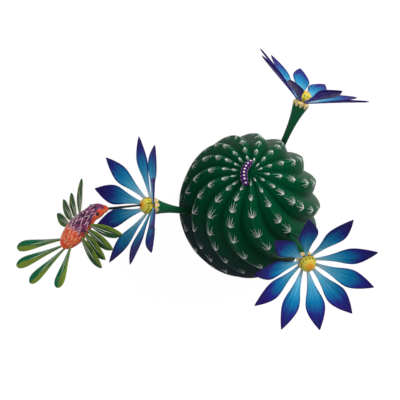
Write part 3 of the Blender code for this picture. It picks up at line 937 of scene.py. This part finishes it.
def brush_strokes_tree():
    """Fans of tapered paint strokes that start at points and lie on a body's surface."""
    made = bpy.data.node_groups.get("Brush strokes")
    if made:
        return made
    tree, given, result = new_tree(
        "Brush strokes", Object=("Body",), Int=("Strokes", "Seed"),
        Float=("Fan", "Length", "Width", "Ridge", "Jitter"), Material=("Paint",))
    ball = unit_ball(tree, STROKE_BALL)
    across, rise, pole = position(tree).parts()
    along = (pole * 0.5 + 0.5).math("MAXIMUM", 0.0) ** STROKE_TAPER
    stroke = chain(
        ball, "GeometryNodeStoreNamedAttribute", {"Name": "height", "Value": rise * given["Ridge"]},
        data_type="FLOAT", domain="POINT")
    stroke = chain(stroke, "GeometryNodeSetPosition", {"Position": vector(tree, across * -0.5, along, 0.0)})
    stroke = chain(stroke, "GeometryNodeSetShadeSmooth")

    copies = add_node(tree, "GeometryNodeDuplicateElements", {"Amount": given["Strokes"]}, domain="POINT")
    plug(copies.inputs["Geometry"], given["Geometry"])
    number = Wire(tree, copies.outputs["Duplicate Index"])
    spread = number / (given["Strokes"] - 1) * 2 - 1
    wobble = random_between(tree, -1.0, 1.0, given["Seed"])
    size = named(tree, "size")
    turn = (spread * given["Fan"] + wobble * given["Jitter"]) * size
    fan = wire(tree, "FunctionNodeEulerToRotation", {0: vector(tree, 0.0, 0.0, turn)})
    lean = wire(tree, "FunctionNodeRotateRotation", {0: standing(tree), 1: fan}, rotation_space="LOCAL")
    uneven = random_between(tree, STROKE_SHORTEST, STROKE_LONGEST, given["Seed"] + 1)
    reach = (spread.math("ABSOLUTE") * -STROKE_OUTER_LOSS + 1) * uneven * size * given["Length"]
    put = wire(tree, "GeometryNodeInstanceOnPoints", {
        "Points": Wire(tree, copies.outputs["Geometry"]), "Instance": stroke, "Rotation": lean,
        "Scale": vector(tree, size * given["Width"], reach, 1.0)})
    laid = chain(put, "GeometryNodeRealizeInstances")
    surface = wire(tree, "GeometryNodeObjectInfo", {"Object": given["Body"]}, "Geometry")
    near = wire(tree, "GeometryNodeProximity", {0: surface}, "Position", target_element="FACES")
    normal = wire(tree, "GeometryNodeInputNormal")
    out = wire(
        tree, "GeometryNodeSampleNearestSurface",
        {"Mesh": surface, "Value": normal, "Sample Position": position(tree)}, data_type="FLOAT_VECTOR")
    raised = vector_sum(tree, "SCALE", out, named(tree, "height"))
    lying = vector_sum(tree, "ADD", near, raised)
    laid = chain(laid, "GeometryNodeSetPosition", {"Position": lying})
    plug(result, chain(laid, "GeometryNodeSetMaterial", {"Material": given["Paint"]}))
    return tree


def paint_dots_tree():
    """Low round dots of paint that stand on points."""
    made = bpy.data.node_groups.get("Paint dots")
    if made:
        return made
    tree, given, result = new_tree("Paint dots", Float=("Height",), Material=("Paint",))
    dot = chain(unit_ball(tree, DOT_BALL), "GeometryNodeSetShadeSmooth")
    size = named(tree, "size")
    put = wire(tree, "GeometryNodeInstanceOnPoints", {
        "Points": given["Geometry"], "Instance": dot, "Rotation": standing(tree),
        "Scale": vector(tree, size, size, size * given["Height"])})
    dots = chain(put, "GeometryNodeRealizeInstances")
    plug(result, chain(dots, "GeometryNodeSetMaterial", {"Material": given["Paint"]}))
    return tree


def point_mesh(name, points):
    """Points as (place, outward, lead, size), kept as attributes for the trees."""
    mesh = bpy.data.meshes.new(name)
    mesh.from_pydata([place for place, _, _, _ in points], [], [])
    for label, index in (("outward", 1), ("lead", 2)):
        values = [number for point in points for number in point[index]]
        mesh.attributes.new(label, "FLOAT_VECTOR", "POINT").data.foreach_set("vector", values)
    sizes = [point[3] for point in points]
    mesh.attributes.new("size", "FLOAT", "POINT").data.foreach_set("value", sizes)
    return mesh


def strokes_mesh(name, points, body_mesh, paint, **values):
    """Brush strokes at points, laid on a mesh."""
    body = put_object(name + "_body", body_mesh)
    strokes = put_object(name, point_mesh(name, points))
    inputs = {label.replace("_", " ").capitalize(): value for label, value in values.items()}
    run_tree(strokes, brush_strokes_tree(), {"Body": body, "Paint": paint, **inputs})
    mesh = plain_mesh(strokes, name)
    bpy.data.objects.remove(body)
    return mesh


def dots_mesh(name, points, height, paint):
    dots = put_object(name, point_mesh(name, points))
    run_tree(dots, paint_dots_tree(), {"Height": height, "Paint": paint})
    return plain_mesh(dots, name)


# Places, worked out as in the solids


def aim(origin, along, facing):
    """A frame whose Z points along and whose Y leans to facing."""
    z = Vector(along).normalized()
    y = Vector(facing)
    y = (y - y.dot(z) * z).normalized()
    matrix = Matrix((y.cross(z), y, z)).transposed().to_4x4()
    matrix.translation = origin
    return matrix


def direction(azimuth, elevation):
    return Vector((cos(elevation) * cos(azimuth), cos(elevation) * sin(azimuth), sin(elevation)))


def crown_shift(polar):
    return CROWN_SHIFT * exp(-((polar / CROWN_SHIFT_SPREAD) ** 2))


def oval_point(polar, around):
    """A point on the oval through the rib crests."""
    dip = CROWN_DIP * exp(-((polar / CROWN_DIP_SPREAD) ** 2))
    radius = CACTUS_RADIUS * sin(polar)
    height = CACTUS_WAIST_HEIGHT + CACTUS_HALF_HEIGHT * cos(polar) - dip
    return Vector((radius * cos(around), radius * sin(around), height)) + crown_shift(polar)


def crown_height(flat):
    """The oval's height over a point near the middle of the plan."""
    polar = 0.0
    for _ in range(CROWN_ROUNDS):
        polar = asin((flat - crown_shift(polar)).length / CACTUS_RADIUS)
    return oval_point(polar, 0).z


def rib_heading(around, polar):
    start = around + RIB_FIRST_CREST
    return start + RIB_DRIFT * sin(start - RIB_DRIFT_START) + SWIRL_RATE * max(polar - SWIRL_START, 0) ** 2


def flower_frame(flower):
    """The frame where a flower's petals meet on its stem's axis, with Z along the stem."""
    joint = JOINTS[flower + "_turn"]
    along = Vector(joint["axis"])
    return aim(Vector(joint["pos_m"]), along, (along.y, -along.x, 0))


def beak_frame():
    joint = JOINTS["hummingbird_turn"]
    return aim(Vector(joint["pos_m"]), Vector(joint["axis"]), UP)


def bird_axes():
    """The body's back, right and up directions."""
    back = direction(BIRD_AZIMUTH, BIRD_ELEVATION)
    right = Quaternion(back, BIRD_ROLL) @ UP.cross(back).normalized()
    return back, right, back.cross(right)


def bird_spine():
    """Points and directions from the head's front to the rump, bending at the neck."""
    axis = beak_frame()
    start, end = axis.col[2].to_3d(), direction(BIRD_AZIMUTH, BIRD_ELEVATION)
    bend = start.rotation_difference(end)
    point = axis.translation + BEAK_SEEN * start
    made = []
    for step in range(SPINE_STEPS + 1):
        share = min(1, step / SPINE_STEPS / NECK_END)
        way = Quaternion().slerp(bend, share * share * (3 - 2 * share)) @ start
        made.append((point.copy(), way))
        point += way * (BIRD_LENGTH / SPINE_STEPS)
    return made


def straight_outline(stations, share):
    """The outline's value on straight lines between its stations, as the solids have it."""
    for (low, first), (high, second) in zip(stations, stations[1:]):
        if share <= high:
            return first + (second - first) * (share - low) / (high - low)
    return stations[-1][1]


def bird_section(spine, share):
    """The middle of the body at that share of its length, and the ways right, up and back there."""
    point, way = spine[round(share * SPINE_STEPS)]
    _, _, up = bird_axes()
    high = (up - up.dot(way) * way).normalized()
    return point, way.cross(high) * -1, high, way


def bird_skin(spine, share, angle):
    """(place, outward, lead) on the body, the angle from its right side over its top."""
    point, right, high, way = bird_section(spine, share)
    out = cos(angle) * right + sin(angle) * high
    return point + BIRD_RADIUS * smooth_outline(BIRD_OUTLINE, share) * out, out, way


def wing_feathers(spine):
    """(name, blade, frame) of each wing feather."""
    back, right, up = bird_axes()
    for side, wing, out in (("right", RIGHT_WING, right), ("left", LEFT_WING, -right)):
        for number, (share, sweep, length) in enumerate(wing, 1):
            tilt = radians(sweep)
            along = cos(WING_DROP) * (cos(tilt) * out - sin(tilt) * back) + sin(WING_DROP) * up
            radius = BIRD_RADIUS * straight_outline(BIRD_OUTLINE, share)
            root = spine[round(share * SPINE_STEPS)][0] + radius * out - FEATHER_TANG * along
            front = along.cross(up) if side == "right" else up.cross(along)
            facing = cos(WING_SHINGLE) * up + sin(WING_SHINGLE) * front.normalized()
            bend = (WING_CURVE if side == "right" else -WING_CURVE) * length
            blade = Blade(WING_OUTLINE, length, WING_WIDTH, FEATHER_THICKNESS, 0, 0, bend)
            yield f"{side}_wing_feather_{number}", blade, aim(root, along, facing)


def tail_feathers(spine):
    """(name, blade, frame) of each tail feather."""
    back, right, up = bird_axes()
    for number, (fan, length) in enumerate(TAIL, 1):
        along = cos(radians(fan)) * back + sin(radians(fan)) * right
        offset = (number - (len(TAIL) + 1) / 2) * TAIL_SPACING
        step = SPINE_STEPS
        while BIRD_RADIUS * straight_outline(BIRD_OUTLINE, step / SPINE_STEPS) < abs(offset):
            step -= 1
        root = spine[step][0] + offset * right - FEATHER_TANG * along
        blade = Blade(TAIL_OUTLINE, length, TAIL_WIDTH, FEATHER_THICKNESS, 0, 0, 0)
        yield f"tail_feather_{number}", blade, aim(root, along, up)


# Operators: one for each piece or group of like pieces


class ORNAMENT_OT_cactus(bpy.types.Operator):
    """Carve and paint the ribbed cactus with its three sockets and its spines"""

    bl_idname = "ornament.cactus"
    bl_label = "Cactus"

    def execute(self, context):
        look = context.scene.cactus_look
        body = put_object("carved_cactus", bpy.data.meshes.new("carved_cactus"))
        run_tree(body, ribbed_ball_tree(), {
            "Radius": CACTUS_RADIUS, "Half height": CACTUS_HALF_HEIGHT, "Waist height": CACTUS_WAIST_HEIGHT,
            "Ribs": RIB_COUNT, "Rib depth": RIB_DEPTH, "First crest": RIB_FIRST_CREST, "Drift": RIB_DRIFT,
            "Drift start": RIB_DRIFT_START, "Fade power": RIB_FADE_POWER, "Crest power": RIB_CREST_POWER,
            "Swirl start": SWIRL_START, "Swirl rate": SWIRL_RATE, "Crown dip": CROWN_DIP,
            "Dip spread": CROWN_DIP_SPREAD, "Crown shift": CROWN_SHIFT, "Shift spread": CROWN_SHIFT_SPREAD,
            "Steps around": RIB_COUNT * look.steps_per_rib, "Rings": look.rings, "Paint": rib_paint(look)})
        whole = plain_mesh(body, "whole_cactus")
        wood = wood_finish(context.scene.flower_look)
        cutters = []
        for flower, length in STEM_LENGTHS.items():
            floor = -length - SOCKET_DEPTH
            mouth, end = CUTTER_REACH - length, floor - BORE_DEPTH
            socket = (
                (0, mouth), (SOCKET_RADIUS, mouth), (SOCKET_RADIUS, floor),
                (BORE_RADIUS, floor), (BORE_RADIUS, end), (0, end))
            mesh = turned(flower + "_socket", socket, flower_frame(flower), SOCKET_STEPS)
            mesh.materials.append(wood)
            cutters.append(put_object(mesh.name, mesh))
        drilled = put_object("drilled_cactus", whole.copy())
        cut(drilled, cutters)
        mesh = plain_mesh(drilled, "carved_cactus")
        for cutter in cutters:
            bpy.data.objects.remove(cutter)
        piece = put_object("carved_cactus", mesh)
        settle(piece, "cactus", "cactus_paint", "cactus_body")
        spines = strokes_mesh(
            "painted_spines", self.clusters(), whole, spine_paint(look), strokes=look.spine_strokes,
            fan=look.spine_fan, length=look.spine_length, width=look.spine_width, ridge=look.spine_ridge,
            jitter=look.spine_jitter, seed=SPINE_SEED)
        settle(put_object("painted_spines", spines), "cactus", "cactus_paint")
        return {"FINISHED"}

    def clusters(self):
        """(place, outward, lead to the crown, size) of each spine cluster."""
        near = radians(1)
        made = []
        for rib, angles in enumerate(SPINE_ANGLES):
            around = tau * rib / RIB_COUNT
            below = range(angles[-1] + SPINE_STEP, SPINE_LAST, SPINE_STEP)
            for angle in (*angles, *below):
                polar = radians(angle)
                heading = rib_heading(around, polar)
                place = oval_point(polar, heading)
                lead = oval_point(polar - near, rib_heading(around, polar - near)) - place
                sideways = oval_point(polar, heading + near) - oval_point(polar, heading - near)
                out = lead.cross(sideways).normalized() * -1
                grown = min(1, angle / FULL_SPINE_ANGLE)
                size = CROWN_SPINE_SIZE + (1 - CROWN_SPINE_SIZE) * grown
                size -= FOOT_SPINE_LOSS * max(0, angle - FOOT_SPINE_ANGLE) / FULL_SPINE_ANGLE
                made.append((place, out, lead.normalized(), size))
        return made


class ORNAMENT_OT_grub(bpy.types.Operator):
    """Carve the segmented grub on the crown and dot its back"""

    bl_idname = "ornament.grub"
    bl_label = "Grub"

    def route(self, share):
        flat = (1 - share) ** 2 * GRUB_TAIL + 2 * share * (1 - share) * GRUB_BEND + share**2 * GRUB_HEAD
        return Vector((flat.x, flat.y, crown_height(flat) + GRUB_RADIUS + GLUE_GAP))

    def section(self, share):
        """(middle, sideways, up, way, radius) at that share of the grub."""
        near = 0.02
        way = (self.route(min(1, share + near)) - self.route(max(0, share - near))).normalized()
        side = way.cross(UP).normalized()
        ends = min(1, GRUB_END_SIZE + GRUB_END_RATE * min(share, 1 - share))
        swell = 1 - GRUB_FOLD * (1 - abs(sin(pi * share * GRUB_SEGMENTS)))
        return self.route(share), side, side.cross(way), way, GRUB_RADIUS * ends * swell

    def on_back(self, share, angle, size):
        """(place, outward, lead, size) of a dot, the angle from the right side over the back."""
        middle, side, high, way, radius = self.section(share)
        out = cos(angle) * side + sin(angle) * high
        return middle + radius * out, out, way, size

    def execute(self, context):
        look = context.scene.grub_look
        circle = unit_circle(GRUB_STEPS)
        rings = []
        for row in range(GRUB_ROWS + 1):
            middle, side, high, _, radius = self.section(row / GRUB_ROWS)
            radius *= GRUB_CAP_SIZE if row in (0, GRUB_ROWS) else 1
            rings.append([middle + radius * (x * side + y * high) for x, y in circle])
        mesh = loft("carved_grub", rings, even_shares(GRUB_STEPS), even_shares(GRUB_ROWS))
        add_piece("carved_grub", mesh, grub_paint(look), "cactus", "grub_paint", "grub")
        dots = []
        for segment in range(GRUB_SEGMENTS):
            share = (segment + 0.5) / GRUB_SEGMENTS
            dots.append(self.on_back(share, pi / 2, look.dot_size))
            for angle in GRUB_SIDE_DOTS:
                dots.append(self.on_back(share, radians(angle), look.side_dot_size))
        piece = put_object("grub_dots", dots_mesh("grub_dots", dots, GRUB_DOT_HEIGHT, dot_paint(look)))
        settle(piece, "cactus", "grub_paint")
        return {"FINISHED"}


def calyx_sizes():
    """The (radius, height) ends of the seat under the petal roots, and of the centre's underside."""
    along = Vector((sin(PETAL_OPENING), cos(PETAL_OPENING)))
    off = Vector((-cos(PETAL_OPENING), sin(PETAL_OPENING)))
    inner, outer, room = PETAL_ROOT * along, PETAL_MOUTH * along, PETAL_ROOM * off
    return inner - room, outer - room, inner + room, outer + room


class ORNAMENT_OT_stems(bpy.types.Operator):
    """Turn and paint the trumpet stems, and give their pegs bare wood"""

    bl_idname = "ornament.stems"
    bl_label = "Stems and pegs"

    def execute(self, context):
        look = context.scene.flower_look
        material, wood = stem_paint(look), wood_finish(look)
        seat_in, seat_out, _, _ = calyx_sizes()
        top = [(0, seat_in.y), tuple(seat_in), tuple(seat_out)]
        for flower, length in STEM_LENGTHS.items():
            root = GLUE_GAP - length - SOCKET_DEPTH
            flare = []
            for step in even_shares(STEM_STEPS):
                share = 1 - step
                radius = STEM_ROOT_RADIUS + (CALYX_RADIUS - STEM_ROOT_RADIUS) * share**STEM_FLARE_POWER
                flare.append((radius, root * (1 - share)))
            deep = root + PEG_HOLE_DEPTH
            hole = [(PEG_HOLE_RADIUS, root), (PEG_HOLE_RADIUS, deep), (0, deep)]
            name = flower + "_stem"
            mesh = turned("turned_" + name, top + flare + hole, flower_frame(flower), TURNED_STEPS)
            add_piece("turned_" + name, mesh, material, flower, "stem_paint", name)
            peg = frame["nodes"][flower + "_peg"]
            for slot in peg.material_slots:
                slot.material = wood
        return {"FINISHED"}


class ORNAMENT_OT_centres(bpy.types.Operator):
    """Carve and paint the domed centres, with the beak's hole in the left one"""

    bl_idname = "ornament.centres"
    bl_label = "Flower centres"

    def execute(self, context):
        look = context.scene.flower_look
        material = centre_paint(look)
        rings = (
            ("_stamens", stroke_paint("stamen_paint", look.yellow), 0.0, STAMEN_ANGLE, look.stamen_size),
            ("_seeds", stroke_paint("seed_paint", look.stem_dark), 0.5, SEED_ANGLE, look.seed_size))
        seat_in, _, under_in, under_out = calyx_sizes()
        low = asin((under_out.y - CENTRE_WAIST_HEIGHT) / CENTRE_RISE)
        dome = []
        for step in range(DOME_STEPS + 1):
            angle = pi / 2 + (low - pi / 2) * step / DOME_STEPS
            dome.append((CENTRE_RADIUS * cos(angle), CENTRE_WAIST_HEIGHT + CENTRE_RISE * sin(angle)))
        dome[0] = (0, dome[0][1])
        slope = (under_out.y - under_in.y) / (under_out.x - under_in.x)
        plug_top = under_in.y + slope * (CENTRE_PLUG_RADIUS - under_in.x)
        bottom = seat_in.y + GLUE_GAP
        profile = dome + [(CENTRE_PLUG_RADIUS, plug_top), (CENTRE_PLUG_RADIUS, bottom), (0, bottom)]
        hole = BEAK_TIP_RADIUS + BEAK_CLEARANCE
        deep = -BEAK_IN_FLOWER - BEAK_CLEARANCE
        bit = ((0, CUTTER_REACH), (hole, CUTTER_REACH), (hole, deep), (0, deep))
        drill = turned("beak_hole", bit, beak_frame(), BEAK_STEPS)
        for flower in FLOWER_PETALS:
            name = flower + "_centre"
            mesh = turned("carved_" + name, profile, flower_frame(flower), TURNED_STEPS)
            if flower == "left_flower":
                cutter = put_object("beak_hole", drill)
                drilled = put_object("drilled", mesh)
                cut(drilled, [cutter])
                mesh = plain_mesh(drilled, "carved_" + name)
                bpy.data.objects.remove(cutter)
            add_piece("carved_" + name, mesh, material, flower, "centre_paint", name)
            for label, paint, turn, above, size in rings:
                dots = self.ring(flower_frame(flower), turn, above, size)
                piece = put_object(flower + label, dots_mesh(flower + label, dots, STAMEN_HEIGHT, paint))
                settle(piece, flower, "centre_paint")
        return {"FINISHED"}

    def ring(self, place, turn, above, size):
        """(place, outward, lead, size) of the dots round the dome, at an angle above its waist."""
        made = []
        for number in range(STAMENS):
            angle = tau * (number + turn) / STAMENS
            round_way = Vector((cos(angle), sin(angle), 0))
            out = (cos(above) * CENTRE_RISE * round_way + sin(above) * CENTRE_RADIUS * UP).normalized()
            height = CENTRE_WAIST_HEIGHT + CENTRE_RISE * sin(above)
            point = CENTRE_RADIUS * cos(above) * round_way + height * UP
            made.append((place @ point, place.to_3x3() @ out, place.to_3x3() @ UP, size))
        return made


class ORNAMENT_OT_petals(bpy.types.Operator):
    """Carve and paint each petal by itself"""

    bl_idname = "ornament.petals"
    bl_label = "Petals"

    def execute(self, context):
        material = petal_paint(context.scene.flower_look)
        chance = Random(PETAL_SEED)
        for flower, petals in FLOWER_PETALS.items():
            base = flower_frame(flower)
            for number, (turn, lift) in enumerate(petals, 1):
                outward = Vector((cos(radians(turn)), sin(radians(turn)), 0))
                opening = PETAL_OPENING + radians(lift)
                mouth = PETAL_MOUTH * (sin(PETAL_OPENING) * outward + cos(PETAL_OPENING) * UP)
                along = sin(opening) * outward + cos(opening) * UP
                face = sin(opening) * UP - cos(opening) * outward
                name = f"{flower}_petal_{number:02d}"
                place = base @ aim(mouth - PETAL_MOUTH * along, along, face)
                mesh = carved_blade("carved_" + name, PETAL_BLADE, place, chance.random(), *PETAL_STEPS)
                add_piece("carved_" + name, mesh, material, flower, "petal_paint", name)
        return {"FINISHED"}


class ORNAMENT_OT_bird(bpy.types.Operator):
    """Carve and paint the hummingbird's body, eyes and feather lines"""

    bl_idname = "ornament.bird"
    bl_label = "Bird body"

    def execute(self, context):
        look = context.scene.bird_look
        spine = bird_spine()
        hole = BEAK_BASE_RADIUS + BEAK_CLEARANCE
        point, right, high, way = bird_section(spine, 0)
        circle = unit_circle(BIRD_STEPS, -pi / 2)
        rings = []
        along = []
        for depth in (BEAK_IN_HEAD + BEAK_CLEARANCE, 0):
            rings.append([point + depth * way + hole * (x * right + y * high) for x, y in circle])
            along.append(0.0)
        for share in even_shares(BIRD_ROWS):
            middle, right, high, _ = bird_section(spine, share)
            radius = BIRD_RADIUS * smooth_outline(BIRD_OUTLINE, share)
            rings.append([middle + radius * (x * right + y * high) for x, y in circle])
            along.append(share)
        mesh = loft("carved_hummingbird", rings, even_shares(BIRD_STEPS), along)
        skin = mesh.copy()
        material = bird_paint(look)
        add_piece("carved_hummingbird", mesh, material, "hummingbird", "bird_paint", "hummingbird_body")
        chance = Random(MARK_SEED)
        lines = self.marks(spine, LINE_ROWS, LINE_ANGLES, chance)
        strokes = strokes_mesh(
            "feather_lines", lines, skin, stroke_paint("feather_line_paint", look.line), strokes=LINE_STROKES,
            fan=look.line_fan, length=look.line_length, width=look.line_width, ridge=look.ridge,
            jitter=look.line_jitter, seed=LINE_SEED)
        settle(put_object("feather_lines", strokes), "hummingbird", "bird_paint")
        fluff = self.marks(spine, FLUFF_ROWS, FLUFF_ANGLES, chance)
        strokes = strokes_mesh(
            "rump_fluff", fluff, skin, stroke_paint("rump_fluff_paint", look.fluff), strokes=FLUFF_STROKES,
            fan=look.fluff_fan, length=look.fluff_length, width=look.fluff_width, ridge=look.ridge,
            jitter=look.fluff_jitter, seed=FLUFF_SEED)
        settle(put_object("rump_fluff", strokes), "hummingbird", "bird_paint")
        eyes = [(*bird_skin(spine, EYE_SHARE, radians(angle)), look.eye_size) for angle in EYE_ANGLES]
        balls = dots_mesh("bird_eyes", eyes, EYE_HEIGHT, beak_paint("eye_paint", look))
        settle(put_object("bird_eyes", balls), "hummingbird", "bird_paint")
        return {"FINISHED"}

    def marks(self, spine, shares, angles, chance):
        """(place, outward, lead, size) of brush marks in staggered, slightly uneven rows."""
        made = []
        for row, share in enumerate(shares):
            for angle in angles:
                moved = share + chance.uniform(-MARK_SHIFT, MARK_SHIFT)
                turn = angle + angles.step * (row % 2 / 2 + chance.uniform(-MARK_TURN, MARK_TURN))
                made.append((*bird_skin(spine, moved, radians(turn)), chance.uniform(*MARK_SIZES)))
        return made


class ORNAMENT_OT_beak(bpy.types.Operator):
    """Turn and paint the beak"""

    bl_idname = "ornament.beak"
    bl_label = "Beak"

    def execute(self, context):
        base, tip = BEAK_SEEN + BEAK_IN_HEAD, -BEAK_IN_FLOWER
        profile = [(0, base), (BEAK_BASE_RADIUS, base), (BEAK_TIP_RADIUS, tip), (0, tip)]
        mesh = turned("turned_beak", profile, beak_frame(), BEAK_STEPS)
        material = beak_paint("beak_paint", context.scene.bird_look)
        add_piece("turned_beak", mesh, material, "bird_beak", "beak_paint", "beak")
        return {"FINISHED"}


class ORNAMENT_OT_feathers(bpy.types.Operator):
    """Carve and paint each wing and tail feather by itself"""

    bl_idname = "ornament.feathers"
    bl_label = "Feathers"

    def execute(self, context):
        look = context.scene.bird_look
        spine = bird_spine()
        chance = Random(FEATHER_SEED)
        wing = feather_paint("wing_feather_paint", look, look.wing_dark, look.wing_light, look.wing_split)
        tail = feather_paint("tail_feather_paint", look, look.tail_dark, look.tail_light, look.tail_split)
        for material, feathers in ((wing, wing_feathers(spine)), (tail, tail_feathers(spine))):
            for name, blade, place in feathers:
                mesh = carved_blade("carved_" + name, blade, place, chance.random(), *FEATHER_STEPS)
                add_piece("carved_" + name, mesh, material, "hummingbird", "feather_paint", name)
        return {"FINISHED"}


class ORNAMENT_OT_stage(bpy.types.Operator):
    """Set the white floor, the lights and the camera"""

    bl_idname = "ornament.stage"
    bl_label = "Stage"

    def execute(self, context):
        look = context.scene.stage_look
        scene = context.scene
        scene.view_settings.view_transform = "Standard"
        bm = bmesh.new()
        bmesh.ops.create_grid(bm, x_segments=1, y_segments=1, size=look.floor_size / 2)
        mesh = smooth_mesh("floor", bm)
        mesh.materials.append(self.floor_material(look))
        floor = put_object("floor", mesh)
        self.set_world(scene, look)
        self.add_light("key_light", KEY_LIGHT, look.key_size, look.key_power)
        self.add_light("fill_light", FILL_LIGHT, look.fill_size, look.fill_power)
        camera = put_object("camera", bpy.data.cameras.new("camera"))
        camera.data.angle = 2 * VIEW_HALF_ANGLE
        camera.location = VIEW_TARGET - VIEW_DISTANCE * direction(pi / 2, -VIEW_ELEVATION)
        camera.rotation_euler = (pi / 2 - VIEW_ELEVATION, 0, 0)
        scene.camera = camera
        return {"FINISHED"}

    def seen(self, tree):
        """1 for rays that show the background itself or its mirror image, and 0 for light."""
        path = add_node(tree, "ShaderNodeLightPath")
        shown = Wire(tree, path.outputs["Is Camera Ray"])
        for label in ("Is Glossy Ray", "Is Transmission Ray"):
            shown = shown.math("MAXIMUM", Wire(tree, path.outputs[label]))
        return shown

    def floor_material(self, look):
        """White that still takes a faint shadow."""
        material = bpy.data.materials.new("white_floor")
        material.use_nodes = True
        tree = material.node_tree
        shader = tree.nodes["Principled BSDF"]
        shade = look.floor_shade
        shader.inputs["Base Color"].default_value = (shade, shade, shade, 1)
        shader.inputs["Roughness"].default_value = 1
        shader.inputs["Specular IOR Level"].default_value = 0
        shader.inputs["Emission Color"].default_value = (1, 1, 1, 1)
        plug(shader.inputs["Emission Strength"], self.seen(tree) * (FLOOR_GLOW - shade))
        return material

    def set_world(self, scene, look):
        world = bpy.data.worlds.new("white_room")
        world.use_nodes = True
        scene.world = world
        tree = world.node_tree
        shown = self.seen(tree)
        sky = tree.nodes["Background"]
        sky.inputs["Color"].default_value = (1, 1, 1, 1)
        plug(sky.inputs["Strength"], shown * (1 - look.sky_level) + look.sky_level)

    def add_light(self, name, place, size, power):
        light = bpy.data.lights.new(name, "AREA")
        light.size = size
        light.energy = power
        lamp = put_object(name, light)
        lamp.location = place
        lamp.rotation_euler = (VIEW_TARGET - place).to_track_quat("-Z", "Y").to_euler()


class ORNAMENT_PT_panel(bpy.types.Panel):
    """The ornament's steps and settings"""

    bl_idname = "ORNAMENT_PT_panel"
    bl_label = "Cactus ornament"
    bl_space_type = "VIEW_3D"
    bl_region_type = "UI"
    bl_category = "Ornament"

    def draw(self, context):
        for operator in OPERATORS:
            self.layout.operator(operator.bl_idname)
        for pointer, group in LOOKS.items():
            box = self.layout.box()
            for name in group.__annotations__:
                box.prop(getattr(context.scene, pointer), name)


LOOKS = {
    "cactus_look": CactusLook, "grub_look": GrubLook, "flower_look": FlowerLook, "bird_look": BirdLook,
    "stage_look": StageLook,
}
OPERATORS = (
    ORNAMENT_OT_cactus, ORNAMENT_OT_grub, ORNAMENT_OT_stems, ORNAMENT_OT_centres, ORNAMENT_OT_petals,
    ORNAMENT_OT_bird, ORNAMENT_OT_beak, ORNAMENT_OT_feathers, ORNAMENT_OT_stage,
)


def register():
    for group in (*LOOKS.values(), *OPERATORS, ORNAMENT_PT_panel):
        bpy.utils.register_class(group)
    for pointer, group in LOOKS.items():
        setattr(bpy.types.Scene, pointer, PointerProperty(type=group))


def unregister():
    for pointer in LOOKS:
        delattr(bpy.types.Scene, pointer)
    for group in reversed((*LOOKS.values(), *OPERATORS, ORNAMENT_PT_panel)):
        bpy.utils.unregister_class(group)


def main():
    register()
    bpy.ops.ornament.cactus()
    bpy.ops.ornament.grub()
    bpy.ops.ornament.stems()
    bpy.ops.ornament.centres()
    bpy.ops.ornament.petals()
    bpy.ops.ornament.bird()
    bpy.ops.ornament.beak()
    bpy.ops.ornament.feathers()
    bpy.ops.ornament.stage()


if __name__ == "__main__":
    main()
